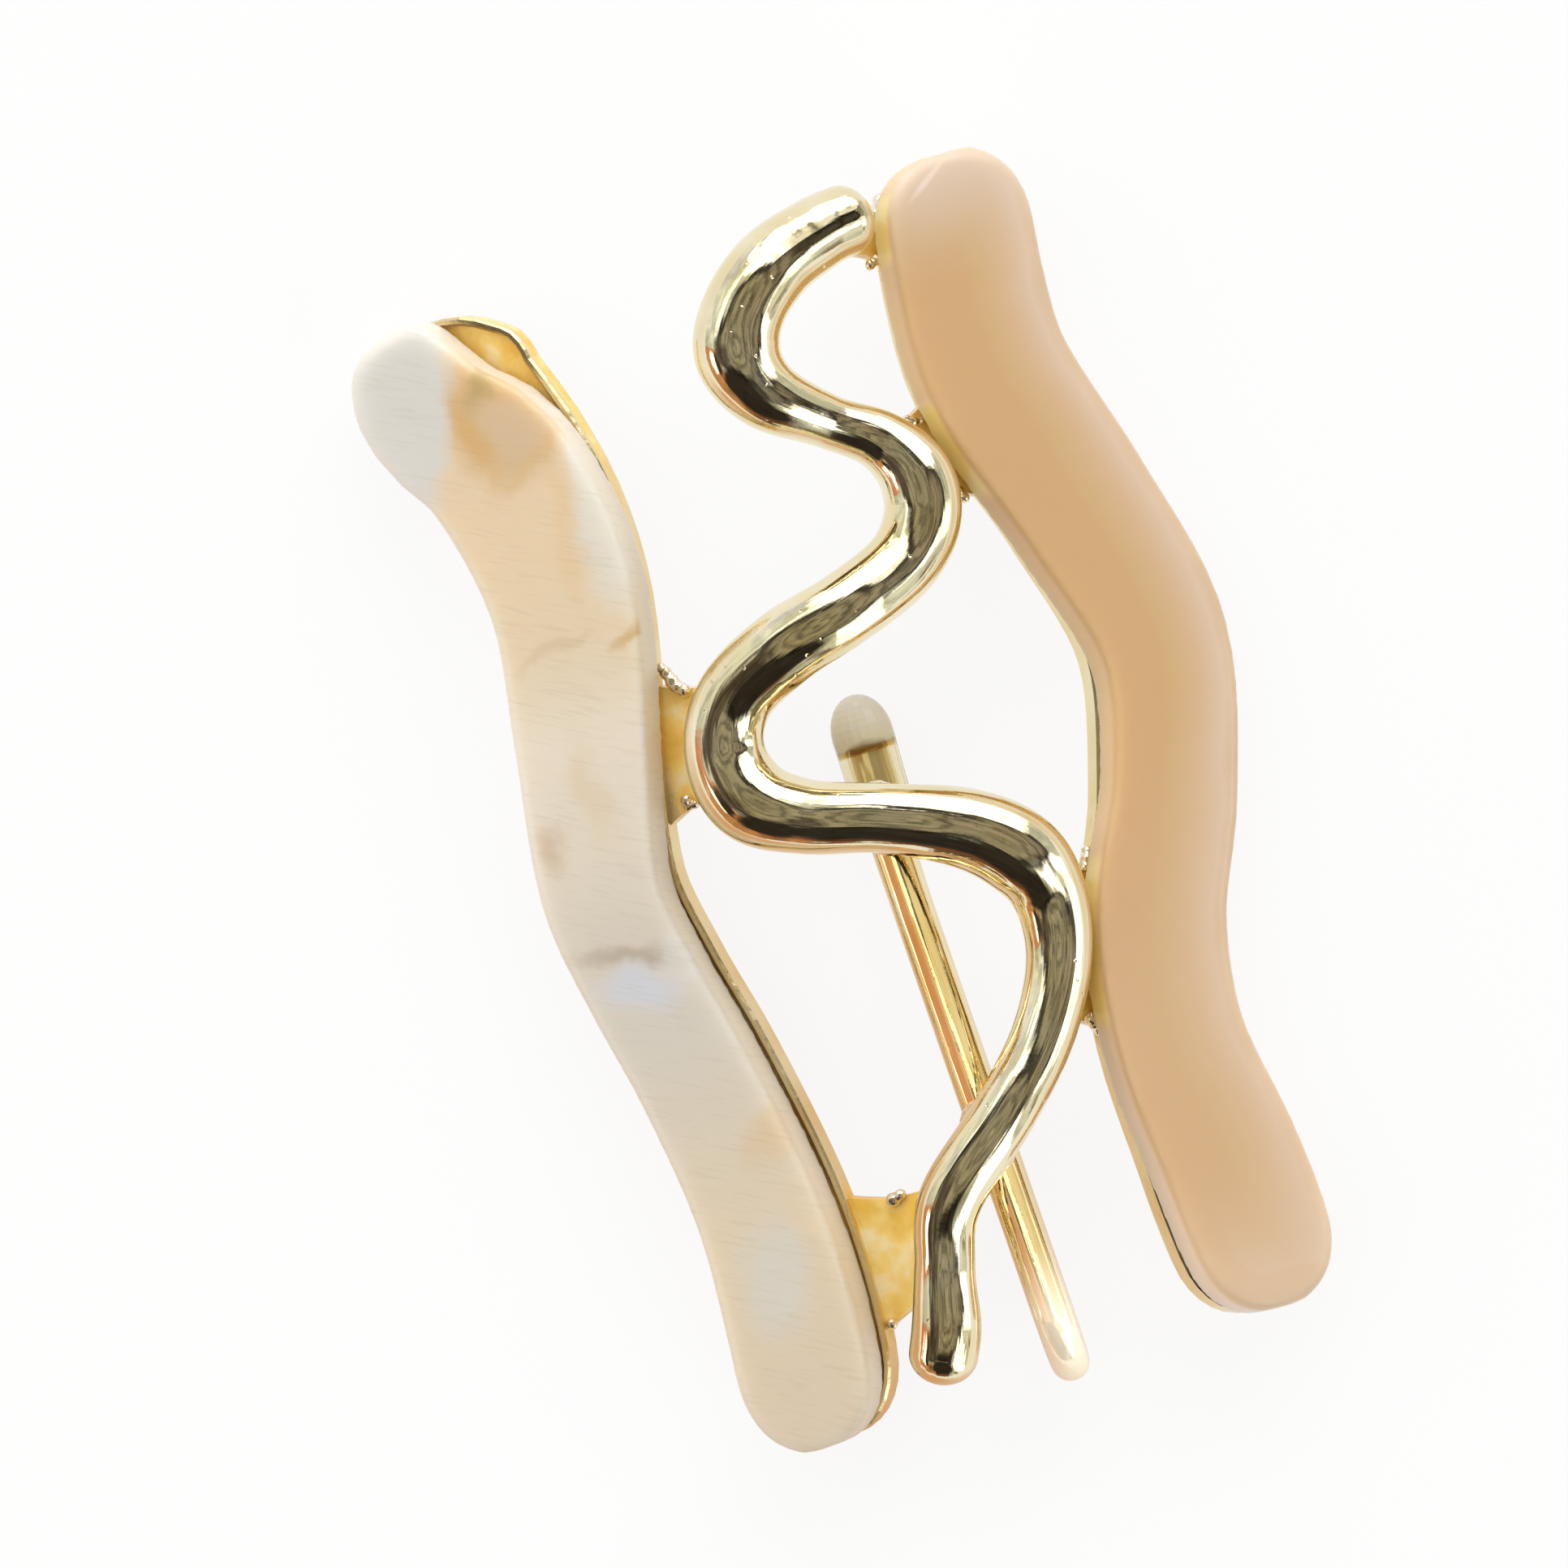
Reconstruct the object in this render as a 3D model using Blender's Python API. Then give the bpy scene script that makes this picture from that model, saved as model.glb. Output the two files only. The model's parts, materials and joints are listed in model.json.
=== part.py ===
"""A ponytail hook clip: two wavy acetate bars in gold-plated trays, a wave-shaped gold rod between them,
and a U-shaped wire hook behind that slides under a hair elastic.

The clip lies face up. X runs across it, Y along it, and Z out of its decorated face.
Sizes below are in millimetres and become metres where a mesh is made."""

import math

import bmesh
import bpy
from mathutils import Matrix, Vector

MM = 0.001

# Cross-section: a rounded ridge in the middle, from which each side slopes down and outwards.
# Distances across a bar count from the hinge line, where the bar's plane meets the rod's axis.
BAR_TILT = 24.0
RIDGE_HALF_SPAN = 2.0
BAR_HINGE = 4.45
RIDGE_RADIUS = RIDGE_HALF_SPAN / math.sin(math.radians(BAR_TILT))

# Trays: a flat floor with a thin raised rim, and tabs that reach under the rod
TRAY_FLOOR = 0.6
RIM_HEIGHT = 0.3
RIM_WIDTH = 0.3
TRAY_EDGE_ROUND = 0.08

# Acetate inlays, bedded on adhesive just above the rim, so that they may overhang it
SEAT_CLEARANCE = 0.1
INLAY_THICKNESS = 1.6
INLAY_OUTER_INSET = 0.2
INLAY_END_OVERHANG = 0.1
INLAY_OUTER_ROUND = 0.5
INLAY_INNER_ROUND = 0.12
FILM_INSET = 0.6

# Wave rod: its underside keeps this radius below its reference axis, however thick the rod is
ROD_UNDERSIDE = 1.4
ROD_END_DOME = 1.05
SOLDER_GAP = 0.4
SOLDER_CLEARANCE = 0.1
SADDLE_HEIGHT = 0.95
SADDLE_OUTWARD = 0.55
HOOK_SOLDER = (1.0, 1.35, 0.75)

# Hook wire and its resin-dipped tip
WIRE_DIAMETER = 1.35
HOOK_SLOT = 2.6
WIRE_LEAN = 1.9
WIRE_ROLL = 2.0
WIRE_FIXED_END = (-0.08, -1.8)
WIRE_LOWEST_Y = -23.05
WIRE_END_DOME = 0.45
FREE_LEG_REACH = 2.1
FREE_END_TURN = 2.5
FREE_END_TURN_RADIUS = 50.0
FREE_END_STRAIGHT = 4.5
TIP_WALL = 0.35
TIP_CLEARANCE = 0.06
TIP_BEYOND_WIRE = 1.65
TIP_LENGTH = 4.4

ROD_AXIS_HEIGHT = TRAY_FLOOR + SOLDER_GAP + ROD_UNDERSIDE
WIRE_RADIUS = WIRE_DIAMETER / 2
WIRE_AXIS_Z = -(ROD_UNDERSIDE + SOLDER_GAP + WIRE_RADIUS)

# The rod's centreline from its upper end to its lower end, as (across, along, radius)
WAVE_KNOTS = [
    (4.75, 17.6, 1.25), (3.7, 17.4, 1.3), (1.95, 16.75, 1.4), (0.55, 15.55, 1.45), (-0.05, 14.15, 1.5),
    (0.5, 12.6, 1.25), (2.2, 11.15, 0.95), (3.75, 10.0, 1.05), (4.55, 8.55, 1.3), (4.35, 7.0, 1.35),
    (3.15, 5.7, 1.3), (0.9, 4.8, 1.3), (-1.5, 4.15, 1.35), (-3.6, 3.05, 1.35), (-4.5, 1.4, 1.4),
    (-4.15, -0.45, 1.5), (-2.5, -1.6, 1.3), (0.05, -2.45, 1.2), (2.6, -3.6, 1.4), (4.15, -5.0, 1.5),
    (4.7, -6.7, 1.3), (4.35, -8.9, 1.15), (3.0, -11.25, 1.1), (1.0, -13.3, 1.1), (-1.65, -15.6, 1.1),
    (-2.5, -17.7, 1.05), (-3.05, -19.7, 1.2), (-3.45, -20.65, 1.2),
]

# Each bar in its own plane: how far out its centreline lies, and its half width, at places along the clip.
# The inner inset is how far the inlay's inner edge lies back from the tray's; negative, it overhangs.
BARS_BOTTOM = -22.6
RIGHT_BAR_TOP = 18.85
LEFT_BAR_TOP = 18.65
RIGHT_BAR = {
    "side": 1,
    "ends": (BARS_BOTTOM, RIGHT_BAR_TOP),
    "end_round": 2.8,
    "centreline": [(BARS_BOTTOM, 4.65), (-17.0, 4.2), (-12.5, 3.8), (-8.5, 4.5), (-4.5, 6.3), (0.8, 7.62),
                   (6.0, 6.4), (11.0, 4.75), (14.0, 4.7), (RIGHT_BAR_TOP, 5.4)],
    "half_width": [(BARS_BOTTOM, 2.65), (-18.0, 2.77), (-12.0, 2.45), (5.0, 2.62), (11.0, 2.75),
                   (RIGHT_BAR_TOP, 2.65)],
    "inner_inset": [(BARS_BOTTOM, -0.05), (-20.0, -0.05), (-17.0, -0.12), (-14.0, -0.28), (-9.0, -0.32),
                    (-6.5, -0.2), (-4.0, -0.02), (-1.0, -0.05), (2.0, -0.25), (5.0, -0.38), (9.0, -0.42),
                    (RIGHT_BAR_TOP, -0.42)],
}
LEFT_BAR = {
    "side": -1,
    "ends": (BARS_BOTTOM, LEFT_BAR_TOP),
    "end_round": 3.0,
    "centreline": [(BARS_BOTTOM, 4.6), (-18.0, 4.1), (-14.0, 4.1), (-9.0, 4.9), (-5.5, 5.75), (-2.0, 6.3),
                   (3.0, 5.5), (7.5, 4.65), (10.5, 4.75), (13.5, 5.53), (15.5, 6.53), (17.2, 6.93),
                   (LEFT_BAR_TOP, 7.02)],
    "half_width": [(BARS_BOTTOM, 2.7), (-18.0, 2.75), (-12.0, 2.55), (-2.0, 2.45), (6.0, 2.65), (11.0, 2.95),
                   (13.5, 3.05), (15.5, 3.3), (LEFT_BAR_TOP, 3.45)],
    "inner_inset": [(BARS_BOTTOM, 0.2), (-9.0, 0.25), (-3.0, 0.15), (0.0, -0.05), (5.0, -0.3), (9.0, -0.3),
                    (11.0, -0.12), (13.0, 0.06), (14.0, 0.4), (15.2, 1.0), (16.2, 1.4), (17.2, 1.72),
                    (LEFT_BAR_TOP, 2.0)],
}

# Tabs: lower and upper corner under the rod as (out, along), then where both edges join the tray
RIGHT_TABS = [((-0.95, -10.8), (0.75, -6.1), -11.6, -5.9), ((0.2, 7.6), (-0.75, 10.3), 7.1, 10.9),
              ((0.6, 16.4), (0.2, 17.7), 15.8, 17.9)]
LEFT_TABS = [((-1.4, -18.9), (-2.2, -15.0), -19.5, -14.6), ((0.0, 0.2), (-0.6, 3.8), -0.6, 4.3)]
TAB_WAIST = 0.3

# Solder under the rod: which bar, place of the rod's axis along the knots, (half width, half length)
SADDLES = {
    "solder_right_top": (RIGHT_BAR, 0.4, (0.8, 0.8)),
    "solder_right_upper": (RIGHT_BAR, 7.9, (1.05, 1.3)),
    "solder_left_middle": (LEFT_BAR, 13.8, (1.15, 1.6)),
    "solder_right_lower": (RIGHT_BAR, 20.3, (0.85, 1.6)),
    "solder_left_bottom": (LEFT_BAR, 24.8, (0.95, 1.4)),
}

OUTLINE_STEPS = 44
END_STEPS = 8
END_FULLNESS = 2.3
SHOULDER_STEPS = 4
ROD_STEPS_PER_KNOT = 3
ROD_SIDES = 18
WIRE_SIDES = 14


def clear_scene():
    for obj in list(bpy.data.objects):
        bpy.data.objects.remove(obj, do_unlink=True)


def make_material(name, colour, roughness, metallic, alpha=1.0):
    material = bpy.data.materials.new(name)
    material.use_nodes = True
    shader = material.node_tree.nodes["Principled BSDF"]
    shader.inputs["Base Color"].default_value = (*colour, 1.0)
    shader.inputs["Roughness"].default_value = roughness
    shader.inputs["Metallic"].default_value = metallic
    shader.inputs["Alpha"].default_value = alpha
    return material


def gold_plate():
    return make_material("gold_plate", (0.84, 0.63, 0.33), 0.14, 1.0)


def add_object(name, data, material, matrix=None):
    obj = bpy.data.objects.new(name, data)
    bpy.context.scene.collection.objects.link(obj)
    data.materials.append(material)
    if matrix is not None:
        obj.matrix_world = matrix
    return obj


def mesh_from(bm, name, smooth_angle=35.0):
    bmesh.ops.recalc_face_normals(bm, faces=bm.faces)
    mesh = bpy.data.meshes.new(name)
    bm.to_mesh(mesh)
    bm.free()
    mesh.shade_smooth()
    mesh.set_sharp_from_angle(angle=math.radians(smooth_angle))
    return mesh


# Curves through hand-set knots

def through(knots, place):
    """The value at one place of a smooth curve through (place, value) knots."""
    last = len(knots) - 1
    i = max(k for k in range(last) if k == 0 or knots[k][0] <= place)

    def slope(k):
        before, after = knots[max(k - 1, 0)], knots[min(k + 1, last)]
        return (after[1] - before[1]) / (after[0] - before[0])

    (p0, v0), (p1, v1) = knots[i], knots[i + 1]
    span = p1 - p0
    t = min(max((place - p0) / span, 0.0), 1.0)
    bend = (2 * t**3 - 3 * t**2 + 1) * v0 + (3 * t**2 - 2 * t**3) * v1
    return bend + span * ((t**3 - 2 * t**2 + t) * slope(i) + (t**3 - t**2) * slope(i + 1))


def rod_at(place):
    """Across, along and radius of the rod at a place counted in knots, on a curve through them all."""
    last = len(WAVE_KNOTS) - 1
    i = min(int(place), last - 1)
    t = place - i
    a, b, c, d = (WAVE_KNOTS[min(max(k, 0), last)] for k in (i - 1, i, i + 1, i + 2))
    return [0.5 * (2 * b[n] + (c[n] - a[n]) * t + (2 * a[n] - 5 * b[n] + 4 * c[n] - d[n]) * t**2
                   + (3 * b[n] - a[n] - 3 * c[n] + d[n]) * t**3) for n in range(3)]


def ridge_height(across):
    """Height that the rod follows: over the round ridge, then straight down each bar's slope."""
    out = min(abs(across), RIDGE_HALF_SPAN)
    beyond = abs(across) - out
    return math.sqrt(RIDGE_RADIUS**2 - out**2) - RIDGE_RADIUS - beyond * math.tan(math.radians(BAR_TILT))


def rod_point(place):
    across, along, radius = rod_at(place)
    return Vector((across, along, ridge_height(across) + radius - ROD_UNDERSIDE)), radius


# The bars' own planes

def bar_frame(bar):
    """The plane of a bar: its X runs across the bar, its Z out of the bar's face, from the tray's back."""
    side = bar["side"]
    hinge = Matrix.Translation(Vector((side * BAR_HINGE, 0, ridge_height(BAR_HINGE))) * MM)
    slope = Matrix.Rotation(side * math.radians(BAR_TILT), 4, "Y")
    return hinge @ slope @ Matrix.Translation((0, 0, -ROD_AXIS_HEIGHT * MM))


def bar_outline(bar, inner=lambda v: 0.0, outer=0.0, ends=0.0):
    """The bar's closed outline, drawn in by insets, as (out, along) points with full round ends."""
    bottom, top = bar["ends"][0] + ends, bar["ends"][1] - ends
    round_length = bar["end_round"]
    quarter = [math.pi / 2 * k / END_STEPS for k in range(END_STEPS)]
    power = 2 / END_FULLNESS
    low = [(bottom + round_length * (1 - math.cos(a) ** power), math.sin(a) ** power) for a in quarter]
    straight = [(bottom + round_length + (top - bottom - 2 * round_length) * k / OUTLINE_STEPS, 1.0)
                for k in range(OUTLINE_STEPS + 1)]
    high = [(top + bottom - v, share) for v, share in reversed(low)]
    outer_edge, inner_edge = [], []
    for v, share in low + straight + high:
        step = 0.05
        lean = (through(bar["centreline"], v + step) - through(bar["centreline"], v - step)) / (2 * step)
        u, half = through(bar["centreline"], v), through(bar["half_width"], v)
        out = (half - outer) * share / math.hypot(1, lean)
        back = (half - inner(v)) * share / math.hypot(1, lean)
        outer_edge.append((u + out, v - out * lean))
        inner_edge.append((u - back, v + back * lean))
    return outer_edge + inner_edge[-2:0:-1]


def slab(name, outline, side, low, high):
    """A flat closed solid of an outline between two heights over the tray's back."""
    bm = bmesh.new()
    verts = [bm.verts.new((side * u * MM, v * MM, low * MM)) for u, v in outline]
    base = bm.faces.new(verts)
    lifted = bmesh.ops.extrude_face_region(bm, geom=[base])
    top_verts = [g for g in lifted["geom"] if isinstance(g, bmesh.types.BMVert)]
    bmesh.ops.translate(bm, verts=top_verts, vec=(0, 0, (high - low) * MM))
    bmesh.ops.recalc_face_normals(bm, faces=bm.faces)
    return bm


def level_edges(bm, height):
    """The edges of a slab that lie at one height."""
    return [e for e in bm.edges if all(abs(v.co.z - height * MM) < 1e-6 for v in e.verts)]


def cut_or_join(obj, other, operation):
    modifier = obj.modifiers.new(other.name, "BOOLEAN")
    modifier.operation = operation
    modifier.solver = "EXACT"
    modifier.object = other
    other.hide_render = True
    other.display_type = "WIRE"
    return modifier


# Trays

def tab_outline(bar, tab):
    """A tab from under the rod to the tray, with both of its edges drawn in to a waist."""
    low, high, tray_low, tray_high = tab
    inside = RIM_WIDTH * 0.5
    outline = []
    for (u, v), tray_v, inward in ((low, tray_low, 1), (high, tray_high, -1)):
        tray_u = through(bar["centreline"], tray_v) - through(bar["half_width"], tray_v) + inside
        edge = []
        for k in range(7):
            t = k / 6
            waist = inward * TAB_WAIST * math.sin(math.pi * t)
            edge.append((u + (tray_u - u) * t, v + (tray_v - v) * t + waist))
        outline += edge if inward > 0 else edge[::-1]
    return outline


def make_tray(name, bar, tabs, gold):
    """A stamped tray: the floor and rim are one slab, its top drawn in by the rim and pushed down."""
    height = TRAY_FLOOR + RIM_HEIGHT
    bm = slab(name, bar_outline(bar), bar["side"], 0, height)
    top = max(bm.faces, key=lambda f: f.calc_center_median().z)
    bmesh.ops.inset_region(bm, faces=[top], thickness=RIM_WIDTH * MM, use_even_offset=True)
    top = max((f for f in bm.faces if len(f.verts) > 4), key=lambda f: f.calc_center_median().z)
    sunk = bmesh.ops.extrude_face_region(bm, geom=[top])
    floor_verts = [g for g in sunk["geom"] if isinstance(g, bmesh.types.BMVert)]
    bmesh.ops.delete(bm, geom=[top], context="FACES_ONLY")
    bmesh.ops.translate(bm, verts=floor_verts, vec=(0, 0, -RIM_HEIGHT * MM))
    rounded = level_edges(bm, height) + level_edges(bm, 0)
    rounded = [e for e in rounded if e.calc_face_angle(0) > 0.5]
    bmesh.ops.bevel(bm, geom=rounded, offset=TRAY_EDGE_ROUND * MM, segments=1, affect="EDGES",
                    clamp_overlap=True)
    tray = add_object(name, mesh_from(bm, name), gold, bar_frame(bar))
    for number, tab in enumerate(tabs, 1):
        label = f"{name}_tab_{number}"
        tab_bm = slab(label, tab_outline(bar, tab), bar["side"], 0, TRAY_FLOOR)
        tab_obj = add_object(label, mesh_from(tab_bm, label), gold, bar_frame(bar))
        cut_or_join(tray, tab_obj, "UNION")
    return tray


# Inlays and their adhesive

def inlay_ring(bar, angle, high):
    """A ring of an inlay's shoulder: angle 0 where the wall ends, a right angle where the top begins."""
    drawn = 1 - math.cos(angle)
    outer = bar_outline(bar, lambda v: through(bar["inner_inset"], v) + INLAY_INNER_ROUND * drawn,
                        INLAY_OUTER_INSET + INLAY_OUTER_ROUND * drawn,
                        INLAY_OUTER_ROUND * drawn - INLAY_END_OVERHANG)
    first_inner = len(outer) // 2 + 1
    drop = 1 - math.sin(angle)
    ring = []
    for k, (u, v) in enumerate(outer):
        from_end = min(k % (len(outer) // 2), -k % (len(outer) // 2)) / END_STEPS
        blend = 1 - min(from_end, 1.0) if k >= first_inner else 1.0
        corner = INLAY_INNER_ROUND + (INLAY_OUTER_ROUND - INLAY_INNER_ROUND) * blend
        ring.append((u, v, high - corner * drop))
    return ring


def make_inlay(name, bar, material):
    """Acetate with a rounded outer shoulder and a crisp inner edge, built up ring by ring."""
    low = TRAY_FLOOR + RIM_HEIGHT + SEAT_CLEARANCE
    high = low + INLAY_THICKNESS
    base = [(u, v, low) for u, v, _ in inlay_ring(bar, 0, high)]
    shoulder = [math.pi / 2 * k / SHOULDER_STEPS for k in range(SHOULDER_STEPS + 1)]
    rings = [base] + [inlay_ring(bar, angle, high) for angle in shoulder]
    bm = bmesh.new()
    layers = [[bm.verts.new((bar["side"] * u * MM, v * MM, w * MM)) for u, v, w in ring] for ring in rings]
    for under, over in zip(layers, layers[1:]):
        for k in range(len(under)):
            bm.faces.new((under[k - 1], under[k], over[k], over[k - 1]))
    bm.faces.new(layers[0])
    bm.faces.new(layers[-1])
    return add_object(name, mesh_from(bm, name), material, bar_frame(bar))


def make_adhesive(name, bar, material):
    """Adhesive on the tray's floor, inside the rim and inside the inlay's edge."""
    low = TRAY_FLOOR + SEAT_CLEARANCE
    high = TRAY_FLOOR + RIM_HEIGHT
    outline = bar_outline(bar, lambda v: FILM_INSET + max(through(bar["inner_inset"], v), 0),
                          FILM_INSET, FILM_INSET)
    bm = slab(name, outline, bar["side"], low, high)
    return add_object(name, mesh_from(bm, name), material, bar_frame(bar))


# Round solids: swept along a line, or turned about an axis

def sweep(points, sides):
    """A solid along (place, radius) points, its rings carried along the line without twist."""
    bm = bmesh.new()
    across = None
    previous = None
    last = len(points) - 1
    for i, (place, radius) in enumerate(points):
        forward = (points[min(i + 1, last)][0] - points[max(i - 1, 0)][0]).normalized()
        across = forward.orthogonal() if across is None else across
        across = (across - forward * across.dot(forward)).normalized()
        up = forward.cross(across)
        ring = []
        for k in range(sides):
            angle = math.tau * k / sides
            spoke = (across * math.cos(angle) + up * math.sin(angle)) * radius
            ring.append(bm.verts.new((place + spoke) * MM))
        if previous is None:
            bm.faces.new(ring)
        else:
            for k in range(sides):
                bm.faces.new((previous[k - 1], previous[k], ring[k], ring[k - 1]))
        previous = ring
    bm.faces.new(previous)
    return bm


def lathe(profile, steps):
    """A solid turned about Y, from (radius, height) points that start and end on the axis."""
    bm = bmesh.new()
    line = [bm.verts.new((radius * MM, height * MM, 0)) for radius, height in profile]
    edges = [bm.edges.new(pair) for pair in zip(line, line[1:])]
    bmesh.ops.spin(bm, geom=line + edges, axis=(0, 1, 0), cent=(0, 0, 0), angle=math.tau, steps=steps,
                   use_merge=True)
    bmesh.ops.remove_doubles(bm, verts=bm.verts, dist=1e-7)
    return bm


def domed_end(end, inward, radius, length, extra=0.0):
    """Points that close a round bar in a dome, from its pole to its full radius."""
    steps = 5
    points = []
    for k in range(steps):
        angle = math.pi / 2 * (k + 0.35) / steps
        share = math.sin(angle)
        points.append((end + inward * length * (1 - math.cos(angle)), radius * share + extra))
    return points


def wave_points(extra=0.0):
    last = len(WAVE_KNOTS) - 1
    count = last * ROD_STEPS_PER_KNOT
    line = [rod_point(last * k / count) for k in range(count + 1)]
    points = []
    for (end, radius), (nearby, _) in ((line[0], line[1]), (line[-1], line[-2])):
        outward = (end - nearby).normalized()
        points.append(domed_end(end + outward * ROD_END_DOME, -outward, radius, ROD_END_DOME, extra))
    body = [(place, radius + extra) for place, radius in line]
    return points[0] + body + points[1][::-1]


def make_wave_bar(gold):
    return add_object("wave_bar", mesh_from(sweep(wave_points(), ROD_SIDES), "wave_bar"), gold)


def wire_frame():
    """Origin at the fixed leg's upper end, Y up the leg, and the free leg on its negative Z side."""
    place = Vector((*WIRE_FIXED_END, WIRE_AXIS_Z)) * MM
    lean = Matrix.Rotation(math.radians(WIRE_LEAN), 4, "Z")
    return Matrix.Translation(place) @ lean @ Matrix.Rotation(-math.radians(WIRE_ROLL), 4, "Y")


def free_end_frame():
    """In the wire's frame: where the free leg's straight end part begins, Y along that part."""
    turn = math.radians(FREE_END_TURN)
    arc_rise = FREE_END_TURN_RADIUS * math.sin(turn)
    start = FREE_LEG_REACH - FREE_END_STRAIGHT * math.cos(turn)
    place = Vector((FREE_END_TURN_RADIUS * (1 - math.cos(turn)), start, -(HOOK_SLOT + WIRE_DIAMETER)))
    return Matrix.Translation(place) @ Matrix.Rotation(-turn, 4, "Z"), start - arc_rise


def wire_points(extra=0.0):
    """The U of the hook in its own frame: down the fixed leg, round the bend and up the free leg."""
    bend = (HOOK_SLOT + WIRE_DIAMETER) / 2
    leg_end = WIRE_LOWEST_Y - WIRE_FIXED_END[1] + bend + WIRE_RADIUS
    end_frame, turn_start = free_end_frame()
    full = WIRE_RADIUS + extra
    points = domed_end(Vector((0, 0, 0)), Vector((0, -1, 0)), WIRE_RADIUS, WIRE_END_DOME, extra)
    points.append((Vector((0, -WIRE_END_DOME, 0)), full))
    for k in range(15):
        angle = math.pi * k / 14
        points.append((Vector((0, leg_end - bend * math.sin(angle), bend * (math.cos(angle) - 1))), full))
    for k in range(5):
        angle = math.radians(FREE_END_TURN) * k / 4
        sideways = FREE_END_TURN_RADIUS * (1 - math.cos(angle))
        along = turn_start + FREE_END_TURN_RADIUS * math.sin(angle)
        points.append((Vector((sideways, along, -2 * bend)), full))
    points.append((end_frame @ Vector((0, FREE_END_STRAIGHT - WIRE_END_DOME, 0)), full))
    tip = end_frame @ Vector((0, FREE_END_STRAIGHT, 0))
    inward = -(end_frame.to_3x3() @ Vector((0, 1, 0)))
    return points + domed_end(tip, inward, WIRE_RADIUS, WIRE_END_DOME, extra)[::-1]


def make_hook_wire(gold):
    mesh = mesh_from(sweep(wire_points(), WIRE_SIDES), "hook_wire")
    return add_object("hook_wire", mesh, gold, wire_frame())


def make_hook_tip(resin):
    """The clear resin bead that the free leg's end is dipped in, turned round the leg, with its bore."""
    bore = WIRE_RADIUS + TIP_CLEARANCE
    outer = bore + TIP_WALL
    top = FREE_END_STRAIGHT + TIP_BEYOND_WIRE
    bottom = top - TIP_LENGTH
    crown = outer * 1.3
    lip = TIP_WALL / 2
    profile = []
    for k in range(9):
        angle = math.pi / 2 * k / 8
        profile.append((outer * math.sin(angle), top - crown * (1 - math.cos(angle))))
    for k in range(1, 5):
        angle = math.pi * k / 4
        profile.append((outer - lip + lip * math.cos(angle), bottom + lip - lip * math.sin(angle)))
    bore_end = FREE_END_STRAIGHT + TIP_CLEARANCE
    for k in range(5):
        angle = math.pi / 2 * (1 - k / 4)
        profile.append((bore * math.sin(angle), bore_end - WIRE_END_DOME * (1 - math.cos(angle))))
    end_frame, _ = free_end_frame()
    end_frame.translation *= MM
    mesh = mesh_from(lathe(profile, 20), "hook_tip", 50)
    return add_object("hook_tip", mesh, resin, wire_frame() @ end_frame)


# Solder

def pad(name, radii, flat_base, gold, matrix):
    """A low round pad of solder: an ellipsoid, or with a flat base its upper half."""
    last = 8 if flat_base else 16
    profile = [(math.sin(math.pi * k / 16), math.cos(math.pi * k / 16)) for k in range(last + 1)]
    if flat_base:
        profile.append((0, 0))
    bm = lathe(profile, 20)
    bmesh.ops.rotate(bm, verts=bm.verts, cent=(0, 0, 0), matrix=Matrix.Rotation(math.pi / 2, 3, "X"))
    bmesh.ops.scale(bm, verts=bm.verts, vec=radii)
    return add_object(name, mesh_from(bm, name), gold, matrix)


def make_saddle(name, bar, place, size, rod_cutter, gold):
    """Solder that fills the gap between a tab and the rod, and climbs the rod's sides."""
    centre, _ = rod_point(place)
    ahead, _ = rod_point(place + 0.05)
    local = bar_frame(bar).inverted() @ (centre * MM)
    local.x += bar["side"] * SADDLE_OUTWARD * MM
    local.z = (TRAY_FLOOR + SOLDER_CLEARANCE) * MM
    direction = bar_frame(bar).to_3x3().inverted() @ (ahead - centre)
    turn = math.atan2(direction.y, direction.x) - math.pi / 2
    matrix = bar_frame(bar) @ Matrix.Translation(local) @ Matrix.Rotation(turn, 4, "Z")
    saddle = pad(name, (*size, SADDLE_HEIGHT), True, gold, matrix)
    cut_or_join(saddle, rod_cutter, "DIFFERENCE")
    return saddle


def wire_crossings():
    """The two places where the rod passes over the fixed leg, counted in knots."""
    lean = math.tan(math.radians(WIRE_LEAN))
    steps = 40 * (len(WAVE_KNOTS) - 1)
    found = []
    side_before = None
    for k in range(steps + 1):
        place = (len(WAVE_KNOTS) - 1) * k / steps
        across, along, _ = rod_at(place)
        side = across - (WIRE_FIXED_END[0] - (along - WIRE_FIXED_END[1]) * lean) > 0
        if side_before is not None and side != side_before and along < WIRE_FIXED_END[1]:
            found.append(place)
        side_before = side
    return found


def make_hook_solder(name, place, rod_cutter, wire_cutter, gold):
    """Solder between the rod's underside and the hook's fixed leg."""
    across, along, _ = rod_at(place)
    height = ridge_height(across) - ROD_UNDERSIDE - SOLDER_GAP / 2
    matrix = Matrix.Translation(Vector((across, along, height)) * MM)
    solder = pad(name, HOOK_SOLDER, False, gold, matrix)
    cut_or_join(solder, rod_cutter, "DIFFERENCE")
    cut_or_join(solder, wire_cutter, "DIFFERENCE")
    return solder


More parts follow.
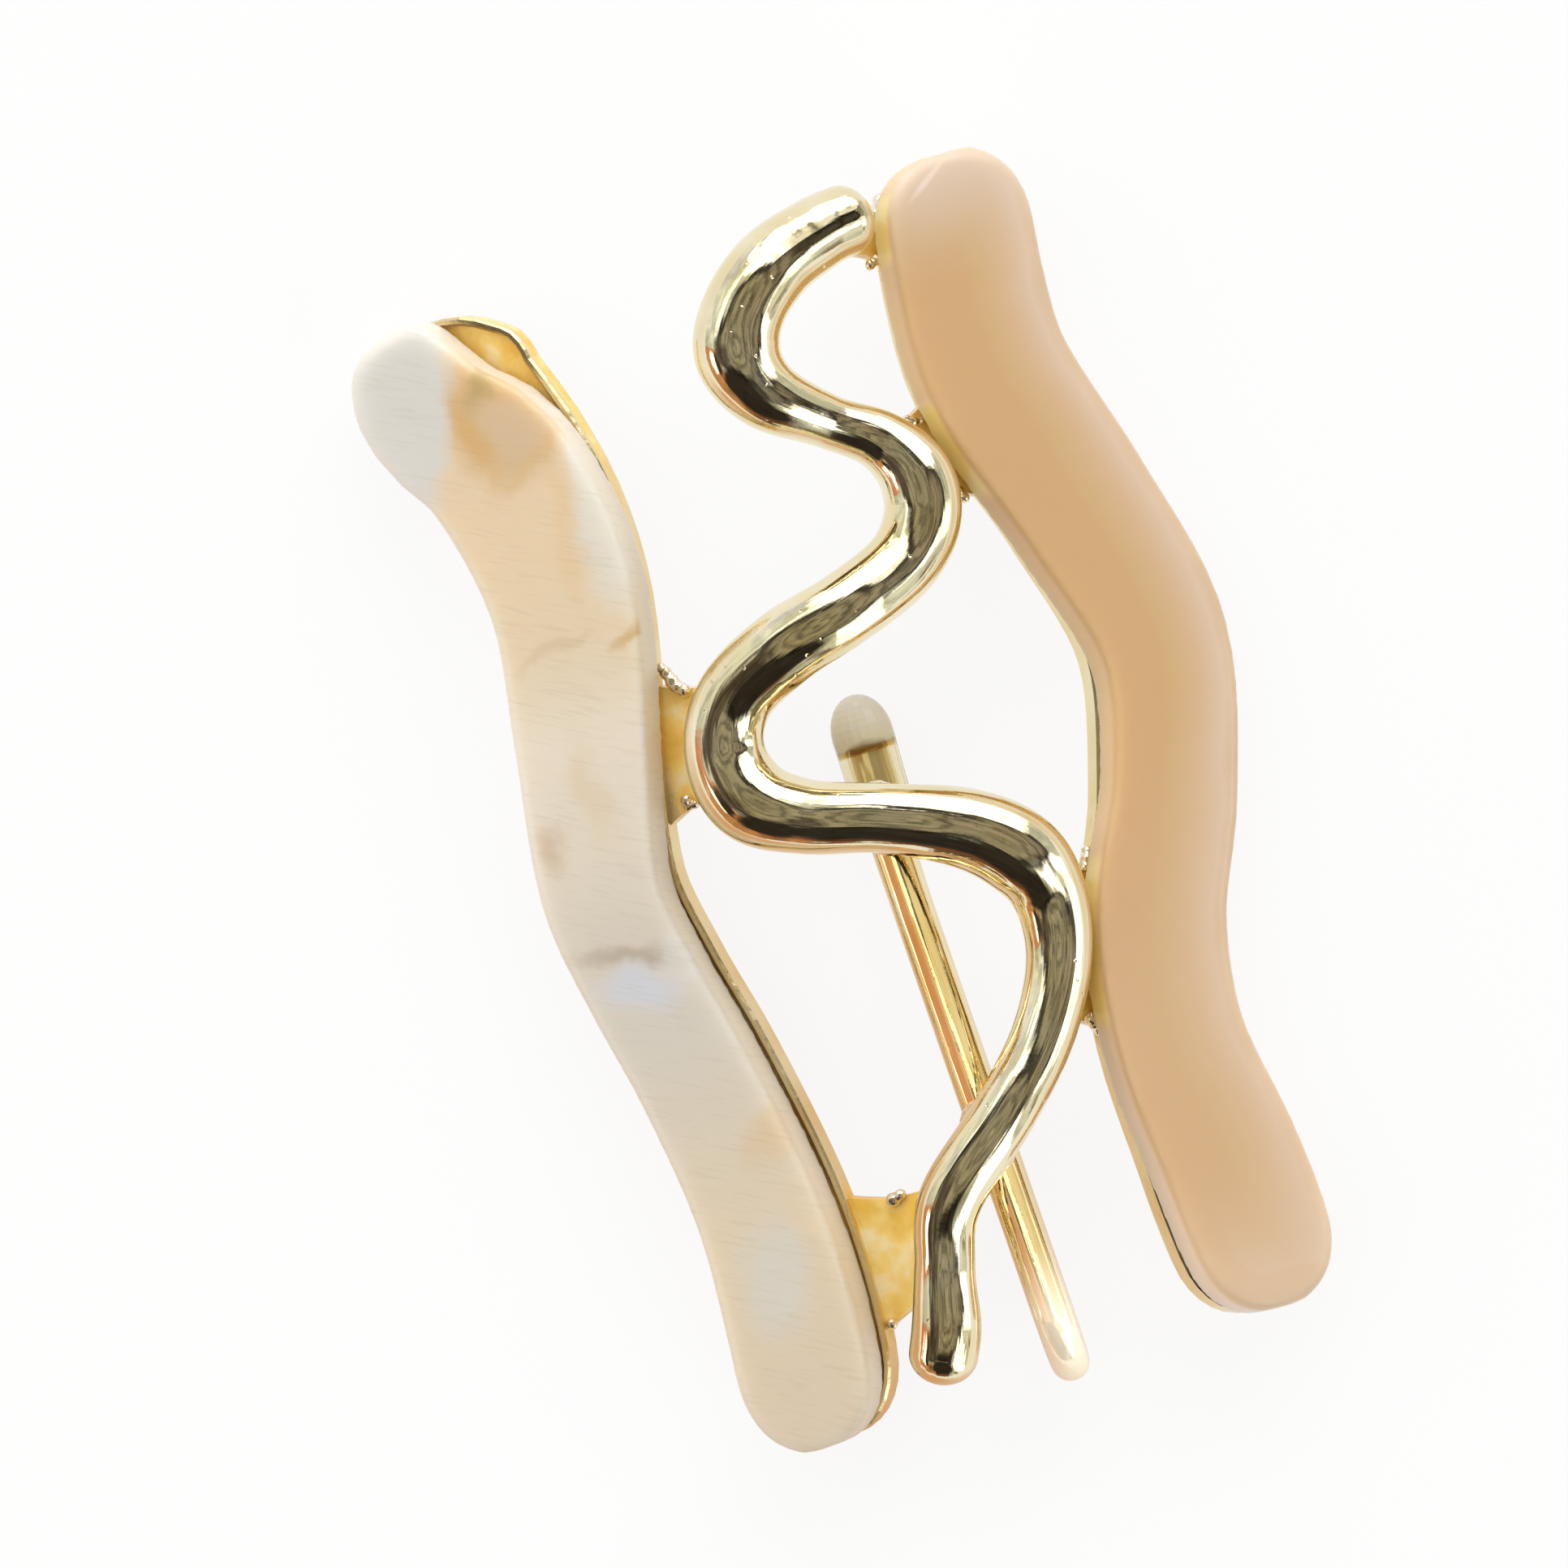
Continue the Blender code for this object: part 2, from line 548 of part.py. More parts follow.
def stand_on_origin():
    """Move the whole clip so that its box is centred on the origin and its lowest point is at Z = 0."""
    root = bpy.data.objects.new("clip", None)
    bpy.context.scene.collection.objects.link(root)
    bpy.context.view_layer.update()
    graph = bpy.context.evaluated_depsgraph_get()
    low, high = Vector((1e9,) * 3), Vector((-1e9,) * 3)
    for obj in bpy.context.scene.objects:
        if obj.type == "EMPTY" or obj.hide_render:
            continue
        evaluated = obj.evaluated_get(graph)
        mesh = evaluated.to_mesh()
        for vertex in mesh.vertices:
            place = obj.matrix_world @ vertex.co
            low = Vector(map(min, low, place))
            high = Vector(map(max, high, place))
        evaluated.to_mesh_clear()
    for obj in bpy.context.scene.objects:
        if obj is not root:
            obj.parent = root
    root.location = (-(low.x + high.x) / 2, -(low.y + high.y) / 2, -low.z)
    bpy.context.view_layer.update()


def build():
    clear_scene()
    gold = gold_plate()
    peach = make_material("peach_acetate", (0.66, 0.42, 0.22), 0.25, 0.0)
    marbled = make_material("marbled_acetate", (0.74, 0.60, 0.45), 0.25, 0.0)
    glue = make_material("clear_adhesive", (0.85, 0.80, 0.70), 0.4, 0.0)
    resin = make_material("clear_resin", (0.86, 0.84, 0.79), 0.12, 0.0)

    make_tray("right_tray", RIGHT_BAR, RIGHT_TABS, gold)
    make_tray("left_tray", LEFT_BAR, LEFT_TABS, gold)
    make_adhesive("right_adhesive", RIGHT_BAR, glue)
    make_adhesive("left_adhesive", LEFT_BAR, glue)
    make_inlay("right_inlay", RIGHT_BAR, peach)
    make_inlay("left_inlay", LEFT_BAR, marbled)

    make_wave_bar(gold)
    rod_mesh = mesh_from(sweep(wave_points(SOLDER_CLEARANCE), ROD_SIDES), "rod_cutter")
    rod_cutter = add_object("rod_cutter", rod_mesh, gold)
    for name, (bar, place, size) in SADDLES.items():
        make_saddle(name, bar, place, size, rod_cutter, gold)

    make_hook_wire(gold)
    make_hook_tip(resin)
    wire_mesh = mesh_from(sweep(wire_points(SOLDER_CLEARANCE), WIRE_SIDES), "wire_cutter")
    wire_cutter = add_object("wire_cutter", wire_mesh, gold, wire_frame())
    for name, place in zip(("hook_solder_upper", "hook_solder_lower"), wire_crossings()):
        make_hook_solder(name, place, rod_cutter, wire_cutter, gold)

    stand_on_origin()


build()
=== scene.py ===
"""A ponytail hook clip dressed for its portrait: two acetate bars in gold-plated trays, a polished
wave-shaped rod between them, and a wire hook with a resin tip behind."""

import json
import math

import bpy
import numpy as np
from mathutils import Matrix, Vector
from mathutils.kdtree import KDTree

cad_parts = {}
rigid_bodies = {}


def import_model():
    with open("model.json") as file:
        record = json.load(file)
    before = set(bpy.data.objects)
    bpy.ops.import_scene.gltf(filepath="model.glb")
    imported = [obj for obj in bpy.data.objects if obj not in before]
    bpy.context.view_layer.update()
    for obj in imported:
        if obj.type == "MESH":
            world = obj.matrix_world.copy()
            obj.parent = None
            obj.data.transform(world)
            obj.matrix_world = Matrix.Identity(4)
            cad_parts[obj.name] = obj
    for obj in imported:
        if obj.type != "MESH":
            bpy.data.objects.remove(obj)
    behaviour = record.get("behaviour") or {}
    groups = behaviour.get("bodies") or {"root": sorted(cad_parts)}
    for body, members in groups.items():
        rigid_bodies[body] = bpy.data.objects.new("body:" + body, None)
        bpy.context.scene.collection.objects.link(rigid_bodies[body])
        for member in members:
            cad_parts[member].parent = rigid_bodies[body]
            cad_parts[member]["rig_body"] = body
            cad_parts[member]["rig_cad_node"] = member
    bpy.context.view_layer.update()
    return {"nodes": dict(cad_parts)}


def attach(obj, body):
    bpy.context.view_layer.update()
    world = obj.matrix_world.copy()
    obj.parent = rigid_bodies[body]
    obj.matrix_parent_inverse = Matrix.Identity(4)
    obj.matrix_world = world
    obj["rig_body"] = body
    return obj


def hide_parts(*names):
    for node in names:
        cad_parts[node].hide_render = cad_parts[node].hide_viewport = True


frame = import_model()

# Trays: brass strip stamped to a shallow dish with a thin raised rim and flat soldering tabs, then
# gold plated. The stamping leaves a soft ripple, so the plating shines unevenly on rim and tabs.

MM = 0.001
BAR_TILT = math.radians(24.0)
# the painted amber glow on the tabs and the dish's open end: middle and half-size of each patch in mm, and
# its height square to the sloping bar
AMBER_GLOW_PATCHES = [((4.9, -6.7), (1.7, 3.3)), ((4.7, 11.0), (1.7, 2.2)), ((5.4, 18.9), (1.6, 1.5)),
         ((-4.9, 3.9), (1.8, 2.9)), ((-4.4, -15.0), (1.9, 2.9)), ((-7.9, 17.0), (2.4, 4.2))]
AMBER_GLOW_LEVEL = 5.58
AMBER_GLOW_HALF_DEPTH = 0.22


def linear(hex_colour):
    """An sRGB hex colour as the linear colour that shaders take."""
    parts = [int(hex_colour[k:k + 2], 16) / 255 for k in (0, 2, 4)]
    return tuple(c / 12.92 if c <= 0.04045 else ((c + 0.055) / 1.055) ** 2.4 for c in parts) + (1.0,)


def node(tree, kind, settings=None, **links):
    """Add a node: settings are its own properties, links are sockets, nodes or values for its inputs."""
    made = tree.nodes.new(kind)
    for key, value in (settings or {}).items():
        setattr(made, key, value)
    for key, value in links.items():
        numbered = key[0] == "i" and key[1:].isdigit()
        socket = made.inputs[int(key[1:])] if numbered else made.inputs[key.replace("_", " ")]
        if isinstance(value, bpy.types.Node):
            value = value.outputs[0]
        if isinstance(value, bpy.types.NodeSocket):
            tree.links.new(value, socket)
        else:
            socket.default_value = value
    return made


def finish_material(name):
    """A new material with its node tree, its Principled shader and the piece's own coordinates."""
    material = bpy.data.materials.new(name)
    material.use_nodes = True
    tree = material.node_tree
    return material, tree, tree.nodes["Principled BSDF"], node(tree, "ShaderNodeTexCoord").outputs["Object"]


def blend_stops(ramp, stops):
    """Set a colour ramp's stops from (place, hex colour) pairs."""
    elements = ramp.color_ramp.elements
    while len(elements) > len(stops):
        elements.remove(elements[-1])
    while len(elements) < len(stops):
        elements.new(1.0)
    for element, (place, colour) in zip(elements, stops):
        element.position = place
        element.color = linear(colour)


def near(tree, value, middle, half, soft):
    """1 where a value lies within half of a middle, fading to 0 over soft beyond it."""
    off = node(tree, "ShaderNodeMath", {"operation": "SUBTRACT"}, i0=value, i1=middle)
    off = node(tree, "ShaderNodeMath", {"operation": "ABSOLUTE"}, i0=off)
    return node(tree, "ShaderNodeMapRange", {"interpolation_type": "SMOOTHSTEP"}, Value=off,
                From_Min=half, From_Max=half + soft, To_Min=1.0, To_Max=0.0)


def tinted(tree, colour, share, strength, tone):
    """Mix a tone into a colour by a share between 0 and 1, times a strength."""
    amount = node(tree, "ShaderNodeMath", {"operation": "MULTIPLY"}, i0=share, i1=strength)
    mixed = node(tree, "ShaderNodeMix", {"data_type": "RGBA"}, i0=amount, i6=colour, i7=linear(tone))
    return mixed.outputs[2]


def patch(tree, colour, place, middle, half, turn, tone, soft=0.5, strength=1.0, square=False):
    """Mix a soft oval, or a square-cornered card, of another tone into a colour."""
    local = node(tree, "ShaderNodeMapping", {"vector_type": "TEXTURE"}, Vector=place, Location=(*middle, 0),
                 Rotation=(0, 0, math.radians(turn)), Scale=(*half, 1e6))
    if square:
        local = node(tree, "ShaderNodeVectorMath", {"operation": "ABSOLUTE"}, i0=local)
        sides = node(tree, "ShaderNodeSeparateXYZ", Vector=local)
        away = node(tree, "ShaderNodeMath", {"operation": "MAXIMUM"}, i0=sides.outputs[0],
                    i1=sides.outputs[1])
    else:
        away = node(tree, "ShaderNodeVectorMath", {"operation": "LENGTH"}, i0=local).outputs["Value"]
    share = node(tree, "ShaderNodeMapRange", {"interpolation_type": "SMOOTHSTEP"}, Value=away,
                 From_Min=1 - soft, From_Max=1 + soft, To_Min=strength, To_Max=0.0)
    tone = linear(tone) if isinstance(tone, str) else (*tone, 1.0)
    return node(tree, "ShaderNodeMix", {"data_type": "RGBA"}, i0=share, i6=colour, i7=tone).outputs[2]


def gold_finish(name, light, deep, roughness, ripple_mm, ripple_um, crinkle_um, grain_um, lines_um=0):
    """Gold plating with a drifting tint, over a ripple, a crinkle, a fine grain and lines along a bar."""
    material, tree, shader, place = finish_material(name)
    drift = node(tree, "ShaderNodeTexNoise", Vector=place, Scale=1 / (2.5 * MM), Detail=3.0)
    tint = node(tree, "ShaderNodeValToRGB", Fac=drift)
    blend_stops(tint, [(0.35, deep), (0.65, light)])
    ripple = node(tree, "ShaderNodeTexNoise", Vector=place, Scale=1 / (ripple_mm * MM), Detail=1.0)
    surface = node(tree, "ShaderNodeBump", Distance=ripple_um * 1e-6, Height=ripple)
    crinkle = node(tree, "ShaderNodeTexNoise", Vector=place, Scale=1 / (0.3 * MM), Detail=2.0)
    surface = node(tree, "ShaderNodeBump", Distance=crinkle_um * 1e-6, Height=crinkle, Normal=surface)
    # the real grain is a few microns across: it is drawn 0.07 mm wide, so that it shows
    grain = node(tree, "ShaderNodeTexNoise", Vector=place, Scale=1 / (0.07 * MM), Detail=2.0)
    surface = node(tree, "ShaderNodeBump", Distance=grain_um * 1e-6, Height=grain, Normal=surface)
    if lines_um:
        lie = node(tree, "ShaderNodeAttribute", {"attribute_name": "lie"}).outputs["Vector"]
        lie = node(tree, "ShaderNodeVectorMath", {"operation": "MULTIPLY"}, i0=lie, i1=(3.6, 3.6, 0.2))
        lines = node(tree, "ShaderNodeTexNoise", Vector=lie, Scale=1.0, Detail=2.0, Roughness=0.5)
        surface = node(tree, "ShaderNodeBump", Distance=lines_um * 1e-6, Height=lines, Normal=surface)
    rough = node(tree, "ShaderNodeMapRange", Value=drift, To_Min=roughness * 0.7, To_Max=roughness * 1.3)
    tree.links.new(tint.outputs[0], shader.inputs["Base Color"])
    tree.links.new(rough.outputs[0], shader.inputs["Roughness"])
    tree.links.new(surface.outputs[0], shader.inputs["Normal"])
    shader.inputs["Metallic"].default_value = 1.0
    return material


def dress(obj, material):
    """Give a piece its one material."""
    obj.data.materials.clear()
    obj.data.materials.append(material)


stamped_gold = gold_finish("gold_plated_stamped_brass", "F2E3B8", "E8CF98", 0.26, 0.9, 20.0, 12.0, 2.0)
tree = stamped_gold.node_tree
shader = tree.nodes["Principled BSDF"]
in_mm = node(tree, "ShaderNodeTexCoord").outputs["Object"]
in_mm = node(tree, "ShaderNodeVectorMath", {"operation": "SCALE"}, i0=in_mm, Scale=1 / MM)
# painted reflection and light: the dish's open end and the tabs are painted a bright, hardly metallic amber
# for gold mirrored in gold in their shade, over dimples of the stamp
across, along, height = node(tree, "ShaderNodeSeparateXYZ", Vector=in_mm).outputs
level = node(tree, "ShaderNodeMath", {"operation": "ABSOLUTE"}, i0=across)
level = node(tree, "ShaderNodeMath", {"operation": "MULTIPLY"}, i0=level, i1=math.sin(BAR_TILT))
level = node(tree, "ShaderNodeMath", {"operation": "MULTIPLY_ADD"}, i0=height, i1=math.cos(BAR_TILT),
             i2=level)
painted_amber_glow = (0.0, 0.0, 0.0, 1.0)
for middle, half in AMBER_GLOW_PATCHES:
    painted_amber_glow = patch(tree, painted_amber_glow, in_mm, middle, half, 0, (1.0, 1.0, 1.0), 0.15, square=True)
on_faces = near(tree, level, AMBER_GLOW_LEVEL, AMBER_GLOW_HALF_DEPTH, 0.08)
painted_amber_glow = node(tree, "ShaderNodeMath", {"operation": "MULTIPLY"}, i0=painted_amber_glow, i1=on_faces)
depth = node(tree, "ShaderNodeTexNoise", Vector=in_mm, Scale=1 / 1.2, Detail=3.0)
amber = node(tree, "ShaderNodeValToRGB", Fac=depth)
blend_stops(amber, [(0.35, "F4C556"), (0.55, "FFDC80"), (0.7, "FFEEBC")])
plating = shader.inputs["Base Color"].links[0].from_socket
colour = node(tree, "ShaderNodeMix", {"data_type": "RGBA"}, i0=painted_amber_glow, i6=plating, i7=amber)
tree.links.new(colour.outputs[2], shader.inputs["Base Color"])
metal_share = node(tree, "ShaderNodeMapRange", Value=painted_amber_glow, To_Min=1.0, To_Max=0.05)
tree.links.new(metal_share.outputs[0], shader.inputs["Metallic"])
dimples = node(tree, "ShaderNodeTexVoronoi", {"feature": "SMOOTH_F1"}, Vector=in_mm, Scale=1 / 0.5)
surface = shader.inputs["Normal"].links[0].from_socket
surface = node(tree, "ShaderNodeBump", Distance=30e-6, Strength=painted_amber_glow, Height=dimples, Normal=surface)
tree.links.new(surface.outputs[0], shader.inputs["Normal"])
for name in ("right_tray", "left_tray"):
    dress(frame["nodes"][name], stamped_gold)

# Adhesive: a clear film of epoxy that beds each inlay in its tray. It was spread thin before the inlay
# was pressed in, and has stayed a little cloudy.

epoxy, tree, shader, place = finish_material("clear_epoxy_film")
cloud = node(tree, "ShaderNodeTexNoise", Vector=place, Scale=1 / (1.5 * MM), Detail=3.0)
tint = node(tree, "ShaderNodeValToRGB", Fac=cloud)
blend_stops(tint, [(0.3, "E4D6B8"), (0.7, "EFE7D2")])
tree.links.new(tint.outputs[0], shader.inputs["Base Color"])
shader.inputs["Roughness"].default_value = 0.3
shader.inputs["IOR"].default_value = 1.55
for name in ("right_adhesive", "left_adhesive"):
    dress(frame["nodes"][name], epoxy)

# Right inlay: a strip of translucent peach acetate, cut to the tray's outline, its edges softened by
# tumbling. Light gathers in its edges and ends, and that glow is painted pink and pale beside the tan
# middle.

# a wall's normal leans less than this out of the bar's plane, and the round ends count as both walls
WALL_LEAN = 0.35
END_SPREAD = 0.25
# from the drawing's own zero to the origin of the frame, in mm
TO_ORIGIN = Vector((-0.0588, 2.0398, 7.8107))
# middle and half-length of each soldering tab, along the bar in mm
RIGHT_TABS = [(18.9, 1.1), (11.0, 1.8), (-6.7, 2.8)]


def merged_copy(node_name, name):
    """A copy of a CAD node's solid with its doubled points merged, left as the active object."""
    bpy.ops.object.select_all(action="DESELECT")
    solid = frame["nodes"][node_name]
    solid.select_set(True)
    bpy.context.view_layer.objects.active = solid
    bpy.ops.object.duplicate()
    piece = bpy.context.view_layer.objects.active
    piece.name = name
    piece.data.name = name
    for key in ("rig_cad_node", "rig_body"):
        del piece[key]
    piece.parent = None
    bpy.ops.object.mode_set(mode="EDIT")
    bpy.ops.mesh.select_all(action="SELECT")
    bpy.ops.mesh.remove_doubles(threshold=1e-6)
    bpy.ops.object.mode_set(mode="OBJECT")
    return piece


def rounded(piece, voxel_mm, rounds):
    """Remesh the active piece in small voxels and smooth it, which takes its edges off."""
    bpy.ops.object.modifier_add(type="REMESH")
    piece.modifiers[-1].mode = "VOXEL"
    piece.modifiers[-1].voxel_size = voxel_mm * MM
    bpy.ops.object.modifier_apply(modifier=piece.modifiers[-1].name)
    bpy.ops.object.modifier_add(type="SMOOTH")
    piece.modifiers[-1].factor = 0.5
    piece.modifiers[-1].iterations = rounds
    bpy.ops.object.modifier_apply(modifier=piece.modifiers[-1].name)


def softened_copy(node_name, name, side):
    """An inlay's solid with tumbled edges; each point knows its distance from both walls and the top."""
    piece = merged_copy(node_name, name)
    rounded(piece, 0.1, 12)
    bpy.ops.object.shade_smooth()

    out = Vector((side * math.cos(BAR_TILT), 0, -math.sin(BAR_TILT)))
    up = Vector((side * math.sin(BAR_TILT), 0, math.cos(BAR_TILT)))
    walls = {"from_outer": [], "from_inner": []}
    flat = [(v.co.dot(out) / MM, v.co.y / MM, 0.0) for v in piece.data.vertices]
    for place, vertex in zip(flat, piece.data.vertices):
        if abs(vertex.normal.dot(up)) < WALL_LEAN:
            if vertex.normal.dot(out) > -END_SPREAD:
                walls["from_outer"].append(place)
            if vertex.normal.dot(out) < END_SPREAD:
                walls["from_inner"].append(place)
    for key, places in walls.items():
        tree = KDTree(len(places))
        for k, place in enumerate(places):
            tree.insert(place, k)
        tree.balance()
        attribute = piece.data.attributes.new(key, "FLOAT", "POINT")
        attribute.data.foreach_set("value", [tree.find(place)[2] for place in flat])
    heights = [v.co.dot(up) / MM for v in piece.data.vertices]
    top = max(heights)
    attribute = piece.data.attributes.new("below_top", "FLOAT", "POINT")
    attribute.data.foreach_set("value", [top - height for height in heights])
    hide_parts(node_name)
    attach(piece, "root")
    return piece


def inner_wall(tree, inner):
    """1 on the wall beside the rod, from just below its top edge down, and 0 elsewhere."""
    below = node(tree, "ShaderNodeAttribute", {"attribute_name": "below_top"}).outputs["Fac"]
    wall = node(tree, "ShaderNodeMapRange", {"interpolation_type": "SMOOTHSTEP"}, Value=inner,
                From_Min=0.06, From_Max=0.25, To_Min=1.0, To_Max=0.0)
    down = node(tree, "ShaderNodeMapRange", {"interpolation_type": "SMOOTHSTEP"}, Value=below,
                From_Min=0.1, From_Max=0.6)
    return node(tree, "ShaderNodeMath", {"operation": "MULTIPLY"}, i0=wall, i1=down)


def lit_through(shader):
    """Acetate: a softly polished surface over a body that scatters light about a millimetre deep."""
    shader.inputs["Roughness"].default_value = 0.3
    shader.inputs["IOR"].default_value = 1.49
    shader.inputs["Subsurface Weight"].default_value = 0.9
    shader.inputs["Subsurface Radius"].default_value = (1.0, 1.0, 1.0)
    shader.inputs["Subsurface Scale"].default_value = 1.2 * MM


right_inlay = softened_copy("right_inlay", "right_inlay_acetate", 1)

peach, tree, shader, place = finish_material("peach_acetate_tumbled")
in_mm = node(tree, "ShaderNodeVectorMath", {"operation": "SCALE"}, i0=place, Scale=1 / MM)
along = node(tree, "ShaderNodeSeparateXYZ", Vector=in_mm).outputs["Y"]
outer = node(tree, "ShaderNodeAttribute", {"attribute_name": "from_outer"}).outputs["Fac"]
inner = node(tree, "ShaderNodeAttribute", {"attribute_name": "from_inner"}).outputs["Fac"]
# painted glow: by distance from the outer wall, a darker line at the very edge, a pale band about 0.7 mm in,
# then the tan middle
cloud = node(tree, "ShaderNodeTexNoise", Vector=in_mm, Scale=1 / 3.0, Detail=2.0)
wander = node(tree, "ShaderNodeMapRange", Value=cloud, To_Min=-0.3, To_Max=0.3)
depth = node(tree, "ShaderNodeMath", {"operation": "MULTIPLY_ADD"}, i0=wander, i1=1.0, i2=outer)
share = node(tree, "ShaderNodeMath", {"operation": "DIVIDE"}, i0=depth, i1=5.0)
colour = node(tree, "ShaderNodeValToRGB", Fac=share)
blend_stops(colour, [(0.0, "C8AB90"), (0.06, "D0B698"), (0.14, "DBC5B0"), (0.24, "D9BFA2"), (0.34, "D7B894"),
                     (0.5, "D3B387"), (0.62, "D2AE81")])
colour = colour.outputs[0]
# painted reflection edge: in the lower half a darker band runs beside the inner wall, where the curved face
# misses a reflection
reflection_band_edge = node(tree, "ShaderNodeMath", {"operation": "MULTIPLY_ADD"}, i0=wander, i1=0.3, i2=inner)
painted_reflection_band = node(tree, "ShaderNodeMapRange", {"interpolation_type": "SMOOTHSTEP"}, Value=reflection_band_edge,
             From_Min=1.05, From_Max=1.25, To_Min=1.0, To_Max=0.0)
low_half = node(tree, "ShaderNodeMapRange", {"interpolation_type": "SMOOTHSTEP"}, Value=along,
                From_Min=1.0, From_Max=-10.0)
painted_reflection_band = node(tree, "ShaderNodeMath", {"operation": "MULTIPLY"}, i0=painted_reflection_band, i1=low_half)
colour = tinted(tree, colour, painted_reflection_band, 0.75, "D2AD82")
colour = tinted(tree, colour, low_half, 0.3, "DCC0A2")
# painted glow: both ends are painted paler, for the light that gathers there
top_end = node(tree, "ShaderNodeMapRange", {"interpolation_type": "SMOOTHSTEP"}, Value=along,
               From_Min=16.2, From_Max=21.0)
colour = tinted(tree, colour, top_end, 0.75, "DBC9B6")
bottom_end = node(tree, "ShaderNodeMapRange", {"interpolation_type": "SMOOTHSTEP"}, Value=along,
                  From_Min=-14.5, From_Max=-21.0)
colour = tinted(tree, colour, bottom_end, 0.6, "DFC9B0")
# painted highlight: a thin pale arc near the top end, where the rounded shoulder catches a softbox
colour = patch(tree, colour, in_mm, (7.9, 20.15), (0.75, 0.1), 35, "EFE2D8", 0.6, 0.6)
# painted light: the inner wall, in shade beside the rod, is painted paler than the face, pale pink low down,
# and bright yellow beside each tab
wall = inner_wall(tree, inner)
colour = tinted(tree, colour, wall, 1.0, "E8C898")
lower = node(tree, "ShaderNodeMapRange", {"interpolation_type": "SMOOTHSTEP"}, Value=along,
             From_Min=-8.0, From_Max=-10.0)
lower = node(tree, "ShaderNodeMath", {"operation": "MULTIPLY"}, i0=lower, i1=wall)
colour = tinted(tree, colour, lower, 0.9, "F0DCCB")
for middle, half in RIGHT_TABS:
    at_tab = near(tree, along, middle, half - 0.3, 0.6)
    painted_tab_light = node(tree, "ShaderNodeMath", {"operation": "MULTIPLY"}, i0=at_tab, i1=wall)
    colour = tinted(tree, colour, painted_tab_light, 1.0, "FFE29C")
tree.links.new(colour, shader.inputs["Base Color"])
swell = node(tree, "ShaderNodeTexNoise", Vector=in_mm, Scale=1 / 1.6, Detail=1.0)
surface = node(tree, "ShaderNodeBump", Distance=4e-6, Height=swell)
tree.links.new(surface.outputs[0], shader.inputs["Normal"])
lit_through(shader)
dress(right_inlay, peach)

# Left inlay: acetate cast in cream, amber and clear drifts, sawn from the sheet, sanded and softly
# polished. The drifts are soft clouds with a few crisp fronts, and fine sanding lines cross the bar.

# each drift's middle and half-size in mm, turn in degrees, colour, softness and, if below 1, strength
DRIFTS = [
    ((-6.3, 12.7), (1.0, 3.3), -4, "E6E0D4", 0.35),
    ((-7.5, 12.4), (0.45, 2.6), -6, "E6CEA6", 0.6, 0.55),
    ((-8.6, 16.6), (1.7, 2.1), 15, "DCBE8F", 0.4),
    ((-8.3, 16.1), (1.2, 1.3), 20, "DCC5A4", 0.5),
    ((-9.75, 16.6), (0.35, 1.5), 14, "DDB87F", 0.7, 0.75),
    ((-8.0, 14.9), (1.0, 0.3), 32, "DFC192", 0.7, 0.65),
    ((-8.9, 17.8), (0.75, 0.3), 60, "C6AE7C", 0.7, 0.9),
    ((-12.3, 18.3), (2.35, 4.2), -14, "DEDCD6", 0.22),
    ((-6.7, 8.35), (0.75, 0.2), 28, "D2B27C", 0.7, 0.7),
    ((-9.3, 8.4), (1.2, 0.22), 12, "D6C09C", 0.7, 0.5),
    ((-11.4, 1.9), (0.5, 0.7), 10, "CFB798", 0.7, 0.55),
    ((-9.5, 3.5), (0.5, 1.6), 0, "E0CDAE", 0.8, 0.5),
    ((-9.6, -2.5), (1.9, 0.3), -14, "B9AB9A", 0.8, 0.7),
    ((-9.8, -3.6), (1.15, 0.75), -8, "D6DAE3", 0.6, 0.8),
    ((-8.0, -3.1), (0.8, 0.8), 0, "DEDCD4", 0.6, 0.8),
    ((-6.6, -9.5), (1.5, 0.8), 30, "DFC59C", 0.6, 0.5),
    ((-8.3, -14.5), (1.2, 1.9), -10, "DCD9D0", 0.5, 0.8),
]

left_inlay = softened_copy("left_inlay", "left_inlay_acetate", -1)

marble, tree, shader, place = finish_material("marbled_acetate_sanded")
in_mm = node(tree, "ShaderNodeVectorMath", {"operation": "SCALE"}, i0=place, Scale=1 / MM)
outer = node(tree, "ShaderNodeAttribute", {"attribute_name": "from_outer"}).outputs["Fac"]
inner = node(tree, "ShaderNodeAttribute", {"attribute_name": "from_inner"}).outputs["Fac"]
stir = node(tree, "ShaderNodeTexNoise", Vector=in_mm, Scale=1 / 1.8, Detail=3.0, Roughness=0.55)
shift = node(tree, "ShaderNodeVectorMath", {"operation": "SUBTRACT"}, i0=stir.outputs["Color"],
             i1=(0.5, 0.5, 0.5))
stirred = node(tree, "ShaderNodeVectorMath", {"operation": "MULTIPLY_ADD"}, i0=shift, i1=(1.6, 1.6, 1.6),
               i2=in_mm)
along = node(tree, "ShaderNodeSeparateXYZ", Vector=stirred).outputs["Y"]
share = node(tree, "ShaderNodeMapRange", Value=along, From_Min=-22.0, From_Max=22.0)
colour = node(tree, "ShaderNodeValToRGB", Fac=share)
blend_stops(colour, [(0.0, "DDD0BC"), (0.2, "E3D5BC"), (0.38, "DAD4C9"), (0.46, "DCD4C7"), (0.53, "E4DCCD"),
                     (0.62, "EAE0D0"), (0.7, "E7D7BB"), (0.78, "EBD7B8"), (0.9, "E8D4B6")])
colour = colour.outputs[0]
for drift in DRIFTS:
    colour = patch(tree, colour, stirred, *drift)
wall = inner_wall(tree, inner)
# painted light: the inner wall, in shade beside the rod, is painted as pale as the face beside it
colour = tinted(tree, colour, wall, 0.9, "EFE4D3")
rim_glow = node(tree, "ShaderNodeMapRange", {"interpolation_type": "SMOOTHSTEP"}, Value=outer,
                From_Min=0.0, From_Max=0.7, To_Min=1.0, To_Max=0.0)
colour = tinted(tree, colour, rim_glow, 0.45, "E4DCCB")
